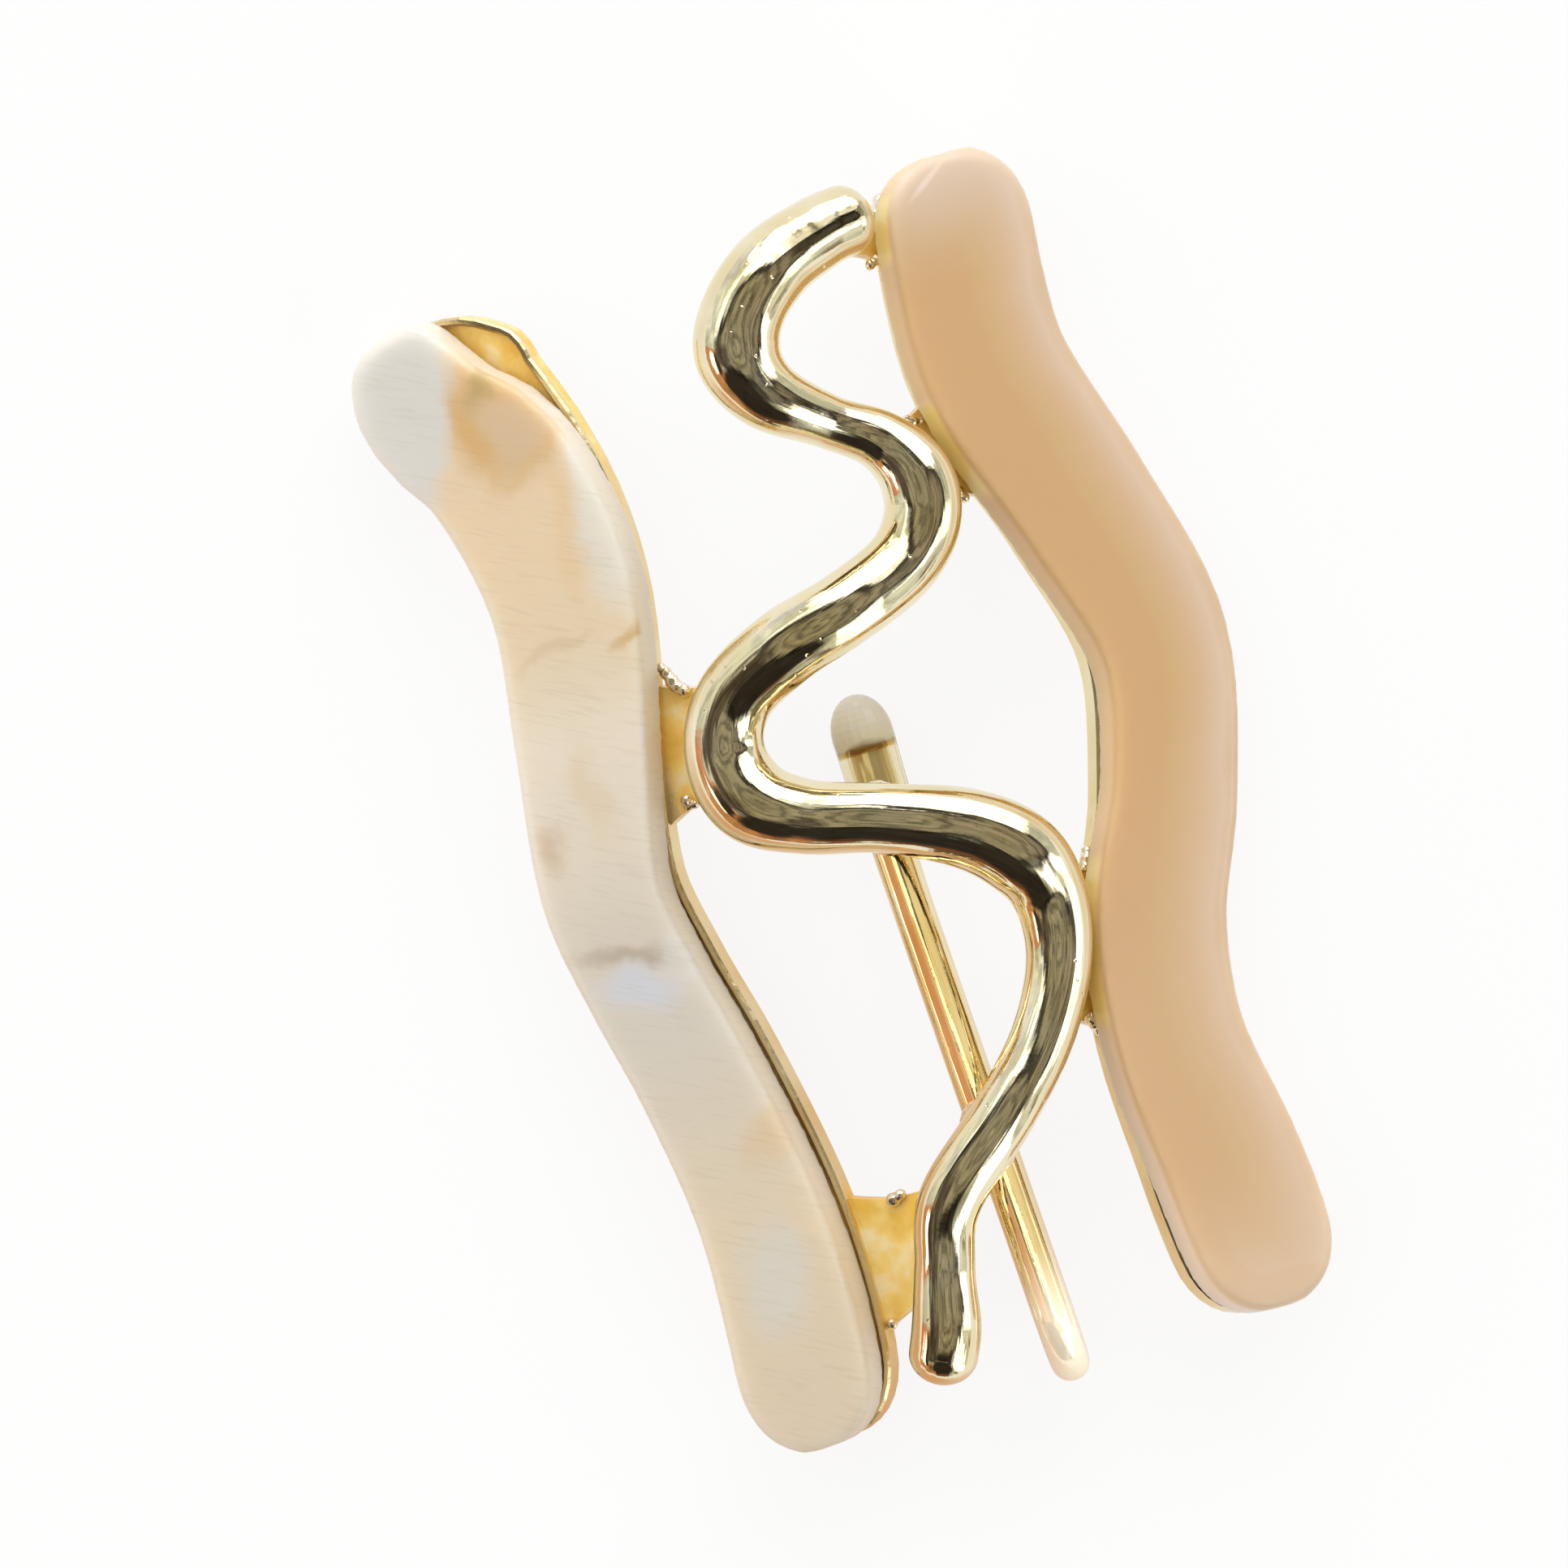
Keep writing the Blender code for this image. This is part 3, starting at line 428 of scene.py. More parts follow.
# real sanding lines are finer: these are drawn 0.11 mm wide, so that they show
sanding = node(tree, "ShaderNodeMapping", {"vector_type": "TEXTURE"}, Vector=in_mm,
               Rotation=(0, 0, math.radians(-28)), Scale=(1.6, 0.11, 1.0))
lines = node(tree, "ShaderNodeTexNoise", Vector=sanding, Scale=1.0, Detail=1.0)
faint = node(tree, "ShaderNodeMapRange", Value=lines, From_Min=0.55, From_Max=0.75, To_Min=0.0, To_Max=0.12)
colour = tinted(tree, colour, faint, 1.0, "A08F78")
tree.links.new(colour, shader.inputs["Base Color"])
surface = node(tree, "ShaderNodeBump", Distance=1.2e-6, Height=lines)
tree.links.new(surface.outputs[0], shader.inputs["Normal"])
lit_through(shader)
dress(left_inlay, marble)

# Wave rod: one round brass rod, bent into a wave and forged thicker in places, buffed on a soft
# wheel, so that its surface wobbles, and gold plated. A few pits from the polishing stay open.

# the rod's axis across and along the clip, and its radius there, in mm
WAVE_KNOTS = [
    (4.75, 17.6, 1.25), (3.7, 17.4, 1.3), (1.95, 16.75, 1.4), (0.55, 15.55, 1.45), (-0.05, 14.15, 1.5),
    (0.5, 12.6, 1.25), (2.2, 11.15, 0.95), (3.75, 10.0, 1.05), (4.55, 8.55, 1.3), (4.35, 7.0, 1.35),
    (3.15, 5.7, 1.3), (0.9, 4.8, 1.3), (-1.5, 4.15, 1.35), (-3.6, 3.05, 1.35), (-4.5, 1.4, 1.4),
    (-4.15, -0.45, 1.5), (-2.5, -1.6, 1.3), (0.05, -2.45, 1.2), (2.6, -3.6, 1.4), (4.15, -5.0, 1.5),
    (4.7, -6.7, 1.3), (4.35, -8.9, 1.15), (3.0, -11.25, 1.1), (1.0, -13.3, 1.1), (-1.65, -15.6, 1.1),
    (-2.5, -17.7, 1.05), (-3.05, -19.7, 1.2), (-3.45, -20.65, 1.2),
]
# where the pits lie thickest: middle and half-size in mm, and turn in degrees
PIT_SITES = [((0.6, 6.0), (2.2, 0.9), 20), ((2.6, 5.4), (1.4, 0.7), 30), ((4.2, 17.0), (0.8, 0.8), 0)]
# the dark crest: how far to the side and how far from the end in mm it lies, each with its half-width
DARK_CREST_SIDE = 0.15
DARK_CREST_HALF_SIDE = 0.20
DARK_CREST_LENGTH = 2.4
DARK_CREST_HALF_LENGTH = 1.3
RIDGE_HALF_SPAN = 2.0
ROD_UNDERSIDE = 1.4
ROD_END_DOME = 1.05


def rod_place(knot):
    """The rod's axis and radius at a place counted in knots, on a curve through them all."""
    last = len(WAVE_KNOTS) - 1
    i = min(int(knot), last - 1)
    t = knot - i
    a, b, c, d = (np.array(WAVE_KNOTS[min(max(k, 0), last)]) for k in (i - 1, i, i + 1, i + 2))
    across, along, radius = 0.5 * (2 * b + (c - a) * t + (2 * a - 5 * b + 4 * c - d) * t**2
                                   + (3 * b - a - 3 * c + d) * t**3)
    arch = RIDGE_HALF_SPAN / math.sin(BAR_TILT)
    flank = max(abs(across) - RIDGE_HALF_SPAN, 0)
    rise = math.sqrt(arch**2 - min(abs(across), RIDGE_HALF_SPAN)**2) - arch - flank * math.tan(BAR_TILT)
    return Vector((across, along, rise + radius - ROD_UNDERSIDE)) + TO_ORIGIN, radius


def domed(line, dome, steps=10):
    """Close both ends of a line of (place, radius) points in an elliptical dome."""
    closed = list(line)
    for end, inside, at_start in ((line[0], line[1], True), (line[-1], line[-2], False)):
        outward = (end[0] - inside[0]).normalized()
        cap = []
        for k in range(1, steps + 1):
            angle = math.pi / 2 * k / steps
            cap.append((end[0] + outward * dome * math.sin(angle), end[1] * max(math.cos(angle), 0.02)))
        closed = cap[::-1] + closed if at_start else closed + cap
    return closed


def round_bar(name, line, sides, upright):
    """A round bar along (place, radius) points in mm: each of its points knows how it lies on the bar."""
    curve = bpy.data.curves.new(name, "CURVE")
    curve.dimensions = "3D"
    curve.bevel_depth = MM
    curve.bevel_resolution = sides // 2 - 2
    curve.use_fill_caps = True
    spline = curve.splines.new("POLY")
    spline.points.add(len(line) - 1)
    for point, (place, radius) in zip(spline.points, line):
        point.co = (*(place * MM), 1.0)
        point.radius = radius
    bar = bpy.data.objects.new(name, curve)
    bpy.context.scene.collection.objects.link(bar)
    bpy.ops.object.select_all(action="DESELECT")
    bar.select_set(True)
    bpy.context.view_layer.objects.active = bar
    bpy.ops.object.convert(target="MESH")
    bar = bpy.context.view_layer.objects.active
    bpy.ops.object.mode_set(mode="EDIT")
    bpy.ops.mesh.select_all(action="SELECT")
    bpy.ops.mesh.remove_doubles(threshold=1e-7)
    bpy.ops.mesh.normals_make_consistent(inside=False)
    bpy.ops.object.mode_set(mode="OBJECT")
    bpy.ops.object.shade_smooth()

    finder = KDTree(len(line))
    lengths = [0.0]
    for k, (place, _) in enumerate(line):
        finder.insert(place, k)
        lengths.append(lengths[-1] + (line[min(k + 1, len(line) - 1)][0] - place).length)
    finder.balance()
    lie = []
    for vertex in bar.data.vertices:
        place, k, _ = finder.find(vertex.co / MM)
        ahead = (line[min(k + 1, len(line) - 1)][0] - line[max(k - 1, 0)][0]).normalized()
        side = ahead.cross(upright).normalized()
        offset = vertex.co / MM - place
        turn = math.atan2(offset.dot(side), offset.dot(side.cross(ahead)))
        lie += [math.cos(turn), math.sin(turn), lengths[k] + offset.dot(ahead)]
    attribute = bar.data.attributes.new("lie", "FLOAT_VECTOR", "POINT")
    attribute.data.foreach_set("vector", lie)
    return bar


last_knot = len(WAVE_KNOTS) - 1
rod_line = [rod_place(last_knot * k / 400) for k in range(401)]
wave_rod = round_bar("wave_rod", domed(rod_line, ROD_END_DOME), 48, Vector((0, 0, 1)))
polished_gold = gold_finish("gold_plated_polished_rod", "F2E8C8", "EBDCB0", 0.07, 1.3, 12.0, 3.0, 0.2, 26.0)
tree = polished_gold.node_tree
shader = tree.nodes["Principled BSDF"]
place = node(tree, "ShaderNodeTexCoord").outputs["Object"]
in_mm = node(tree, "ShaderNodeVectorMath", {"operation": "SCALE"}, i0=place, Scale=1 / MM)
pits = node(tree, "ShaderNodeTexVoronoi", Vector=in_mm, Scale=1 / 0.6)
pit = node(tree, "ShaderNodeMapRange", Value=pits.outputs["Distance"], From_Min=0.04, From_Max=0.12)
rare = node(tree, "ShaderNodeSeparateColor", Color=pits.outputs["Color"]).outputs["Red"]
spared = (0.75, 0.75, 0.75, 1.0)
for middle, half, turn in PIT_SITES:
    spared = patch(tree, spared, in_mm, middle, half, turn, (0.3, 0.3, 0.3), 0.3)
open_pit = node(tree, "ShaderNodeMath", {"operation": "GREATER_THAN"}, i0=rare, i1=spared)
# the real rod lies flatter near its top end and mirrors the dark there: a dark crest stands in for it
lie = node(tree, "ShaderNodeAttribute", {"attribute_name": "lie"}).outputs["Vector"]
upward, sideways, length = node(tree, "ShaderNodeSeparateXYZ", Vector=lie).outputs
fray = node(tree, "ShaderNodeTexNoise", Vector=in_mm, Scale=1 / 0.5, Detail=3.0)
sideways = node(tree, "ShaderNodeMath", {"operation": "MULTIPLY_ADD"}, i0=fray, i1=0.3, i2=sideways)
crest = near(tree, sideways, DARK_CREST_SIDE, DARK_CREST_HALF_SIDE, 0.10)
stretch = near(tree, length, DARK_CREST_LENGTH, DARK_CREST_HALF_LENGTH, 0.8)
crest = node(tree, "ShaderNodeMath", {"operation": "MULTIPLY"}, i0=crest, i1=stretch)
above = node(tree, "ShaderNodeMath", {"operation": "GREATER_THAN"}, i0=upward, i1=0.0)
crest = node(tree, "ShaderNodeMath", {"operation": "MULTIPLY"}, i0=crest, i1=above)
streaky = node(tree, "ShaderNodeMapRange", Value=fray, From_Min=0.35, From_Max=0.55, To_Min=1.0, To_Max=0.65)
crest = node(tree, "ShaderNodeMath", {"operation": "MULTIPLY"}, i0=crest, i1=streaky)
colour = tinted(tree, shader.inputs["Base Color"].links[0].from_socket, crest, 0.95, "4A4028")
tree.links.new(colour, shader.inputs["Base Color"])
surface = shader.inputs["Normal"].links[0].from_socket
surface = node(tree, "ShaderNodeBump", Distance=20e-6, Strength=open_pit, Height=pit, Normal=surface)
tree.links.new(surface.outputs[0], shader.inputs["Normal"])
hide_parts("wave_bar")
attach(wave_rod, "root")
dress(wave_rod, polished_gold)

# Solder: gold-coloured solder that holds the rod on the tabs. It froze in small crinkled beads where
# it ran out at the tabs' corners, and it was plated with the rest, so the beads sparkle.

# a tab's upper face slopes: its height at one distance from the middle, in mm
TAB_TOP_HEIGHT = 4.757
TAB_TOP_SIDE = 3.474
# each bead's place across and along the clip, and its radius, in mm
SOLDER_BEADS = {
    "solder_right_top": [(6.2, 20.0, 0.31), (6.1, 19.75, 0.33), (5.9, 19.6, 0.29), (5.46, 18.1, 0.22),
                         (5.2, 18.0, 0.20)],
    "solder_right_upper": [(5.0, 12.4, 0.22), (4.84, 12.5, 0.18), (5.3, 12.35, 0.16), (5.82, 9.6, 0.22),
                           (5.95, 9.35, 0.20), (5.6, 9.7, 0.17)],
    "solder_left_middle": [(-5.3, 5.85, 0.26), (-5.5, 6.05, 0.26), (-5.6, 6.3, 0.26), (-5.72, 6.6, 0.23),
                           (-5.83, 6.85, 0.18), (-6.35, 2.2, 0.21), (-6.35, 1.95, 0.18), (-6.1, 1.95, 0.16)],
    "solder_right_lower": [(6.15, -4.1, 0.26), (6.3, -3.85, 0.26), (6.38, -3.6, 0.21), (4.8, -9.15, 0.26),
                           (4.87, -9.4, 0.23), (4.93, -9.65, 0.18)],
    "solder_left_bottom": [(-3.6, -13.1, 0.26), (-3.3, -13.0, 0.21), (-4.9, -17.2, 0.22)],
    "hook_solder_upper": [],
    "hook_solder_lower": [],
}
solder_gold = gold_finish("gold_plated_solder", "FDF3E6", "F0DDB8", 0.22, 0.3, 20.0, 12.0, 3.0)
lumps = bpy.data.textures.new("solder_lumps", "CLOUDS")
lumps.noise_scale = 0.22 * MM
for node_name, beads in SOLDER_BEADS.items():
    pad = merged_copy(node_name, node_name + "_run")
    run = [pad]
    for across, along, radius in beads:
        tab_top = TAB_TOP_HEIGHT - (abs(across - TO_ORIGIN.x) - TAB_TOP_SIDE) * math.tan(BAR_TILT)
        bpy.ops.mesh.primitive_ico_sphere_add(subdivisions=3, radius=radius * MM, location=(
            across * MM, along * MM, (tab_top + 0.5 * radius) * MM))
        run.append(bpy.context.view_layer.objects.active)
    bpy.ops.object.select_all(action="DESELECT")
    for piece in run:
        piece.select_set(True)
    bpy.context.view_layer.objects.active = pad
    if beads:
        bpy.ops.object.join()
    rounded(pad, 0.05, 3)
    bpy.ops.object.modifier_add(type="DISPLACE")
    pad.modifiers[-1].texture = lumps
    pad.modifiers[-1].strength = 0.07 * MM
    bpy.ops.object.modifier_apply(modifier=pad.modifiers[-1].name)
    bpy.ops.object.shade_smooth()
    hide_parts(node_name)
    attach(pad, "root")
    dress(pad, solder_gold)

# Hook wire: hard-drawn round brass wire, bent to a U around a mandrel, gold plated and left bright.
# Its bend and its free end are paler and less metallic than the legs; at the free end this is painted light
# on wire that the rod shades.

# in mm: the free leg turns a little on its way, on a wide radius
WIRE_RADIUS = 0.675
WIRE_END_DOME = 0.45
HOOK_BEND = 1.975
LEG_END = -18.6
FREE_TURN = math.radians(2.5)
FREE_TURN_RADIUS = 50.0
FREE_TURN_START = -4.577
FREE_STRAIGHT = 4.5
HOOK_PLACE = Vector((-0.08, -1.8, -2.475))
HOOK_TURN = math.radians(1.9)
HOOK_TILT = math.radians(-2.0)
# where the paler colour begins and where it is full, along the clip in mm: at the bend, and at the free end
# as painted light
PALE_BEND_SPAN = (-15.0, -19.0)
PAINTED_LIGHT_END_SPAN = (-1.5, 0.3)

wire_frame = (Matrix.Translation(TO_ORIGIN + HOOK_PLACE)
              @ Matrix.Rotation(HOOK_TURN, 4, "Z") @ Matrix.Rotation(HOOK_TILT, 4, "Y"))
turn_end = Vector((FREE_TURN_RADIUS * (1 - math.cos(FREE_TURN)),
                   FREE_TURN_START + FREE_TURN_RADIUS * math.sin(FREE_TURN), -2 * HOOK_BEND))
free_end_frame = Matrix.Translation(turn_end) @ Matrix.Rotation(-FREE_TURN, 4, "Z")
wire_line = [Vector((0, -WIRE_END_DOME, 0))]
for k in range(41):
    angle = math.pi * k / 40
    wire_line.append(Vector((0, LEG_END - HOOK_BEND * math.sin(angle), HOOK_BEND * (math.cos(angle) - 1))))
for k in range(9):
    angle = FREE_TURN * k / 8
    wire_line.append(Vector((FREE_TURN_RADIUS * (1 - math.cos(angle)),
                             FREE_TURN_START + FREE_TURN_RADIUS * math.sin(angle), -2 * HOOK_BEND)))
wire_line.append(free_end_frame @ Vector((0, FREE_STRAIGHT - WIRE_END_DOME, 0)))
wire_line = [(wire_frame @ point, WIRE_RADIUS) for point in wire_line]
hook = round_bar("hook_wire_drawn", domed(wire_line, WIRE_END_DOME), 32, Vector((1, 0, 0)))
drawn_gold = gold_finish("gold_plated_drawn_wire", "F1E4BE", "EAD6A2", 0.06, 3.0, 10.0, 2.0, 0.2, 14.0)
tree = drawn_gold.node_tree
shader = tree.nodes["Principled BSDF"]
place = node(tree, "ShaderNodeTexCoord").outputs["Object"]
along = node(tree, "ShaderNodeSeparateXYZ", Vector=place).outputs["Y"]
pale_bend_and_painted_end = node(tree, "ShaderNodeMapRange", {"interpolation_type": "SMOOTHSTEP"}, Value=along,
               From_Min=PALE_BEND_SPAN[0] * MM, From_Max=PALE_BEND_SPAN[1] * MM)
# painted light: the free end under the tip is painted pale
painted_end_light = node(tree, "ShaderNodeMapRange", {"interpolation_type": "SMOOTHSTEP"}, Value=along,
                From_Min=PAINTED_LIGHT_END_SPAN[0] * MM, From_Max=PAINTED_LIGHT_END_SPAN[1] * MM)
pale_bend_and_painted_end = node(tree, "ShaderNodeMath", {"operation": "MAXIMUM"}, i0=pale_bend_and_painted_end, i1=painted_end_light)
colour = tinted(tree, shader.inputs["Base Color"].links[0].from_socket, pale_bend_and_painted_end, 0.85, "F7F2E6")
tree.links.new(colour, shader.inputs["Base Color"])
metal_share = node(tree, "ShaderNodeMapRange", Value=pale_bend_and_painted_end, To_Min=1.0, To_Max=0.35)
tree.links.new(metal_share.outputs[0], shader.inputs["Metallic"])
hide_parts("hook_wire")
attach(hook, "root")
dress(hook, drawn_gold)

# Hook tip: a bead of resin that the wire's free end was dipped in, to blunt it. It is clear round the
# wire and milky beyond it.

resin, tree, shader, place = finish_material("clear_resin_dipped")
in_mm = node(tree, "ShaderNodeVectorMath", {"operation": "SCALE"}, i0=place, Scale=1 / MM)
along = node(tree, "ShaderNodeSeparateXYZ", Vector=in_mm).outputs["Y"]
cloud = node(tree, "ShaderNodeTexNoise", Vector=in_mm, Scale=1 / 0.9, Detail=2.0)
along = node(tree, "ShaderNodeMath", {"operation": "MULTIPLY_ADD"}, i0=cloud, i1=0.3, i2=along)
milky = node(tree, "ShaderNodeMapRange", {"interpolation_type": "SMOOTHSTEP"}, Value=along,
             From_Min=2.1, From_Max=2.6)
colour = node(tree, "ShaderNodeMapRange", Value=along, From_Min=2.2, From_Max=4.4)
colour = node(tree, "ShaderNodeValToRGB", Fac=colour)
blend_stops(colour, [(0.0, "F0E6C4"), (0.35, "EFE9D6"), (1.0, "E8E4DA")])
# painted reflection: a thin gold ring where the resin turns milky, for the wire's end mirrored in it
colour = tinted(tree, colour.outputs[0], near(tree, along, 2.2, 0.05, 0.12), 0.9, "C9A24A")
tree.links.new(colour, shader.inputs["Base Color"])
clear = node(tree, "ShaderNodeMapRange", Value=milky, To_Min=1.0, To_Max=0.05)
tree.links.new(clear.outputs[0], shader.inputs["Transmission Weight"])
rough = node(tree, "ShaderNodeMapRange", Value=milky, To_Min=0.02, To_Max=0.35)
tree.links.new(rough.outputs[0], shader.inputs["Roughness"])
shader.inputs["IOR"].default_value = 1.15
shader.inputs["Coat Weight"].default_value = 0.4
shader.inputs["Coat Roughness"].default_value = 0.1
dress(frame["nodes"]["hook_tip"], resin)

# Setting: a white floor that the clip lies on, a large and a small softbox for the matt surfaces, three
# cards that light the hook wire alone, and a painted studio that the polished gold mirrors.

# how bright the floor looks by itself, and its tones as glossy pieces see it: middle and half-size in m
FLOOR_GLOW = 0.87
FLOOR_TONES = [((-0.028, -0.026), (0.028, 0.032), (0.72, 0.39, 0.21)),
               ((0.045, 0.010), (0.025, 0.040), (0.86, 0.74, 0.58)),
               ((-0.040, 0.040), (0.030, 0.020), (0.95, 0.93, 1.0))]

bpy.ops.mesh.primitive_plane_add(size=1.6)
floor = bpy.context.view_layer.objects.active
floor.name = "floor"
white, tree, shader, place = finish_material("white_paper")
shader.inputs["Base Color"].default_value = (0.9, 0.9, 0.9, 1.0)
shader.inputs["Roughness"].default_value = 0.9
seen = node(tree, "ShaderNodeLightPath")
either = node(tree, "ShaderNodeMath", {"operation": "MAXIMUM"}, i0=seen.outputs["Is Camera Ray"],
              i1=seen.outputs["Is Transmission Ray"])
either = node(tree, "ShaderNodeMath", {"operation": "MAXIMUM"}, i0=either, i1=seen.outputs["Is Glossy Ray"])
either = node(tree, "ShaderNodeMath", {"operation": "MULTIPLY"}, i0=either, i1=FLOOR_GLOW)
tone = (1.0, 1.0, 1.0, 1.0)
for middle, half, light in FLOOR_TONES:
    tone = patch(tree, tone, place, middle, half, -17, light, 0.35)
tone = node(tree, "ShaderNodeMix", {"data_type": "RGBA"}, i0=seen.outputs["Is Glossy Ray"], i6=(1, 1, 1, 1),
            i7=tone)
glow = node(tree, "ShaderNodeEmission", Color=tone.outputs[2], Strength=1.0)
mixed = node(tree, "ShaderNodeMixShader", i0=either, i1=shader, i2=glow)
tree.links.new(mixed.outputs[0], tree.nodes["Material Output"].inputs["Surface"])
floor.data.materials.append(white)

ROLL = math.radians(-17.2)
RIGHT = Vector((math.cos(ROLL), math.sin(ROLL), 0))
UP = Vector((-math.sin(ROLL), math.cos(ROLL), 0))
MIDDLE = Vector((-0.0029, 0.00173, 0.008))


def softbox(name, azimuth, from_zenith, width, height, radiance, distance=0.5):
    """A softbox that only matt surfaces see; azimuth counts from the picture's right to its top."""
    lamp = bpy.data.lights.new(name, "AREA")
    lamp.shape = "RECTANGLE"
    lamp.size = width
    lamp.size_y = height
    lamp.energy = radiance * math.pi * width * height
    obj = bpy.data.objects.new(name, lamp)
    bpy.context.scene.collection.objects.link(obj)
    a, z = math.radians(azimuth), math.radians(from_zenith)
    direction = (RIGHT * math.cos(a) + UP * math.sin(a)) * math.sin(z) + Vector((0, 0, math.cos(z)))
    obj.location = MIDDLE + direction * distance
    obj.rotation_euler = direction.to_track_quat("Z", "Y").to_euler()
    obj.visible_glossy = False
    return obj


softbox("overhead", 185, 40, 0.8, 0.8, 1.2, 0.6)
softbox("key", 85, 45, 0.4, 0.4, 1.0)

# the bars and the rod shade the wire from the studio, so three cards light the wire and nothing else: a
# warm one on its left, a pale one on its right, and a narrow bright one for the line of light on it
only_wire = bpy.data.collections.new("only_wire")
only_wire.objects.link(hook)
for name, azimuth, from_zenith, width, tone in (("warm_card", 162, 60, 0.66, (0.78, 0.38, 0.18)),
                                                ("pale_card", -18, 58, 0.50, (0.85, 0.74, 0.46)),
                                                ("bright_card", -18, 34, 0.09, (1.9, 1.75, 1.3))):
    card = softbox(name, azimuth, from_zenith, width, 0.8, 0.8, 0.35)
    card.data.color = tone
    card.visible_glossy = True
    card.light_linking.receiver_collection = only_wire

# the studio: each card's middle and half-size on the mirror ball, turn, light, softness, strength, and
# whether its corners are square
STUDIO = [
    ((-0.62, 0.72), (0.45, 0.30), 40, (0.90, 0.92, 1.20), 0.4),
    ((0.30, 0.90), (0.50, 0.16), -8, (1.10, 1.10, 1.05), 0.4),
    ((0.92, 0.25), (0.20, 0.50), 10, (0.85, 0.68, 0.50), 0.5),
    ((0.86, -0.42), (0.18, 0.30), -25, (0.86, 0.90, 1.15), 0.5),
    ((0.60, -0.72), (0.40, 0.22), 40, (0.90, 0.90, 0.85), 0.4),
    ((-0.55, 0.22), (0.24, 0.16), 0, (0.80, 0.84, 0.86), 0.6),
    ((0.60, 0.38), (0.13, 0.16), -30, (0.52, 0.54, 0.50), 0.5),
    ((-0.24, 0.57), (0.05, 0.10), 12, (2.0, 2.0, 2.0), 0.3),
    ((-0.40, 0.22), (0.03, 0.16), -28, (1.8, 1.8, 1.8), 0.3),
    ((-0.28, 0.38), (0.03, 0.10), -40, (1.8, 1.8, 1.8), 0.3),
    ((0.17, 0.59), (0.32, 0.29), -15, (2.4, 2.4, 2.4), 0.06, 1.0, True),
    ((0.60, 0.03), (0.10, 0.10), 5, (2.0, 2.0, 2.0), 0.2, 1.0, True),
    ((0.40, -0.29), (0.13, 0.24), 24, (2.3, 2.3, 2.3), 0.08, 1.0, True),
    ((0.68, -0.27), (0.025, 0.14), 20, (0.24, 0.18, 0.14), 0.5),
    ((0.38, -0.60), (0.16, 0.03), -20, (0.22, 0.17, 0.14), 0.5),
    ((-0.60, -0.60), (0.62, 0.40), -45, (0.60, 0.30, 0.14), 0.18),
    ((-0.75, -0.06), (0.34, 0.055), -8, (0.60, 0.27, 0.16), 0.4),
    ((-0.55, -0.21), (0.045, 0.14), 20, (2.0, 2.0, 2.0), 0.25),
    ((-0.47, -0.23), (0.05, 0.16), 20, (0.04, 0.03, 0.025), 0.25),
    ((-0.02, 0.00), (0.46, 0.34), 0, (0.022, 0.018, 0.015), 0.08, 0.95),
    ((-0.02, 0.00), (0.385, 0.27), 0, (0.30, 0.275, 0.21), 0.1),
    ((0.36, 0.12), (0.20, 0.18), 30, (0.04, 0.035, 0.03), 0.12),
    ((0.33, 0.10), (0.18, 0.14), 30, (0.26, 0.23, 0.18), 0.2),
    ((-0.36, -0.12), (0.12, 0.14), 20, (0.10, 0.08, 0.065), 0.5),
    ((-0.03, -0.60), (0.22, 0.14), -6, (0.17, 0.075, 0.04), 0.3),
    ((-0.06, -0.43), (0.33, 0.20), -8, (0.030, 0.025, 0.022), 0.18),
]

world = bpy.data.worlds.new("studio")
bpy.context.scene.world = world
world.use_nodes = True
tree = world.node_tree
background = tree.nodes["Background"]
sky = node(tree, "ShaderNodeTexCoord").outputs["Generated"]
sky = node(tree, "ShaderNodeMapping", Vector=sky, Rotation=(0, 0, -ROLL))
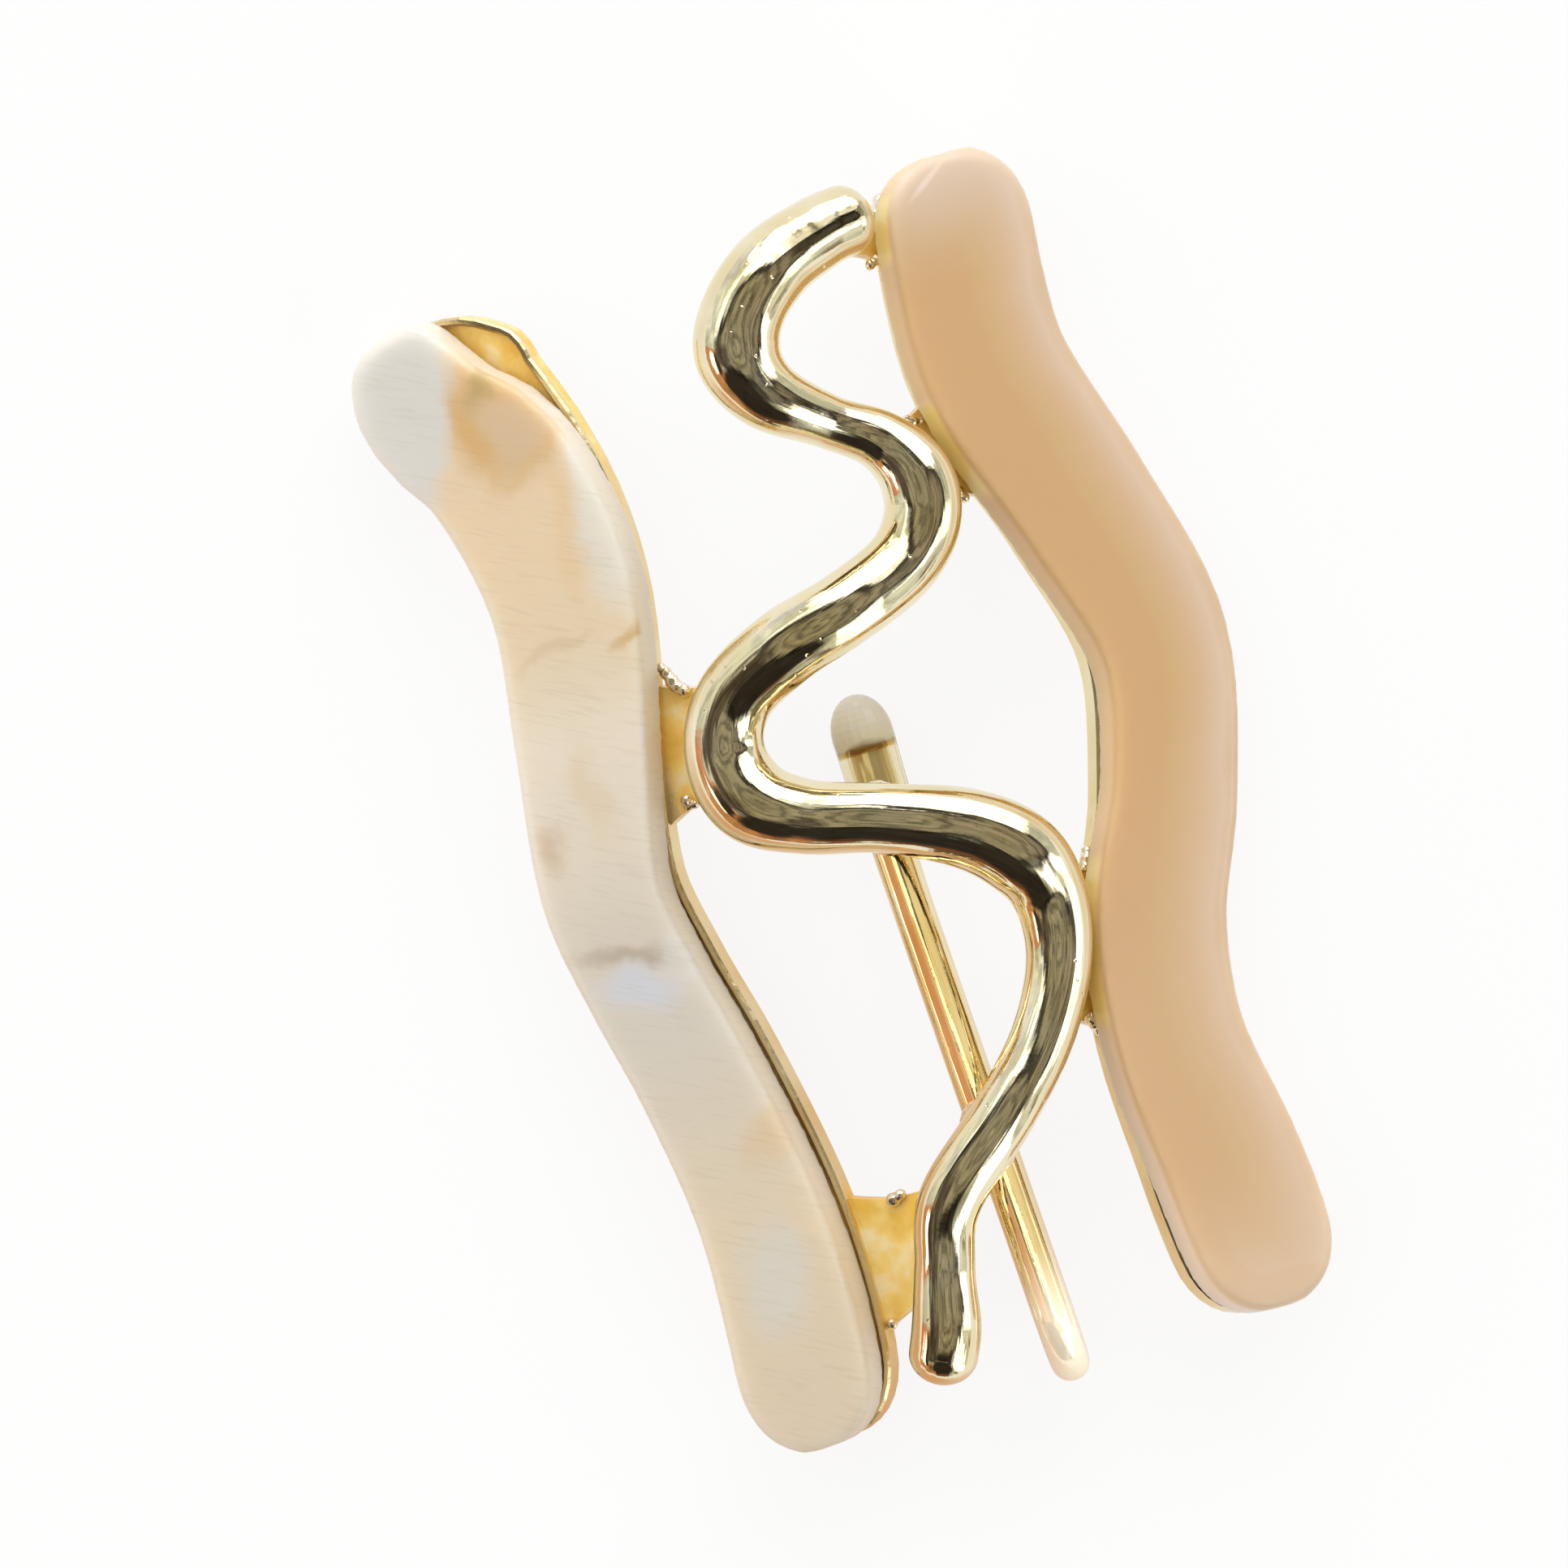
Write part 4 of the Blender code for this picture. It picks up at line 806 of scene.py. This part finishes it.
# halfway between a direction and the zenith: where on a ball, seen from above, it is mirrored
halfway = node(tree, "ShaderNodeVectorMath", {"operation": "ADD"}, i0=sky, i1=(0, 0, 1))
ball = node(tree, "ShaderNodeVectorMath", {"operation": "NORMALIZE"}, i0=halfway)
colour = (0.66, 0.68, 0.62, 1)
for card in STUDIO:
    colour = patch(tree, colour, ball, *card)
streak = node(tree, "ShaderNodeTexNoise", Vector=ball, Scale=9.0, Detail=5.0, Roughness=0.6)
streak = node(tree, "ShaderNodeMapRange", Value=streak, From_Min=0.3, From_Max=0.7, To_Min=0.65, To_Max=1.35)
# faint wandering rings, in the dark core alone
rings = node(tree, "ShaderNodeTexWave", {"wave_type": "RINGS", "rings_direction": "Z"}, Vector=ball,
             Scale=3.2, Distortion=3.0, Detail=3.0, Detail_Scale=4.0, Detail_Roughness=0.7)
rings = node(tree, "ShaderNodeMapRange", Value=rings, From_Min=0.0, From_Max=0.6, To_Min=0.55, To_Max=1.15)
core = patch(tree, (0.0, 0.0, 0.0, 1.0), ball, (0.04, 0.02), (0.52, 0.36), 0, (1.0, 1.0, 1.0), 0.1)
rings = node(tree, "ShaderNodeMix", i0=core, i2=1.0, i3=rings).outputs[0]
streak = node(tree, "ShaderNodeMath", {"operation": "MULTIPLY"}, i0=streak, i1=rings)
colour = node(tree, "ShaderNodeVectorMath", {"operation": "SCALE"}, i0=colour, Scale=streak).outputs[0]
tree.links.new(colour, background.inputs["Color"])
seen = node(tree, "ShaderNodeLightPath")
plain = node(tree, "ShaderNodeBackground", Color=(1, 1, 1, 1))
mixed = node(tree, "ShaderNodeMixShader", i0=seen.outputs["Is Camera Ray"], i1=background, i2=plain)
tree.links.new(mixed.outputs[0], tree.nodes["World Output"].inputs["Surface"])

# the camera looks straight down, turned with the picture: the width it takes in at its distance, in mm
CAMERA_DISTANCE = 350
PICTURE_WIDTH = 53.667
camera_data = bpy.data.cameras.new("camera")
camera = bpy.data.objects.new("camera", camera_data)
bpy.context.scene.collection.objects.link(camera)
camera.location = (-0.0029488, 0.0017298, 0.3578107)
camera.rotation_euler = (0, 0, ROLL)
camera_data.sensor_width = 36
camera_data.lens = camera_data.sensor_width * CAMERA_DISTANCE / PICTURE_WIDTH
camera_data.clip_start = 0.01
camera_data.clip_end = 10
bpy.context.scene.camera = camera

bpy.context.scene.view_settings.view_transform = "Standard"
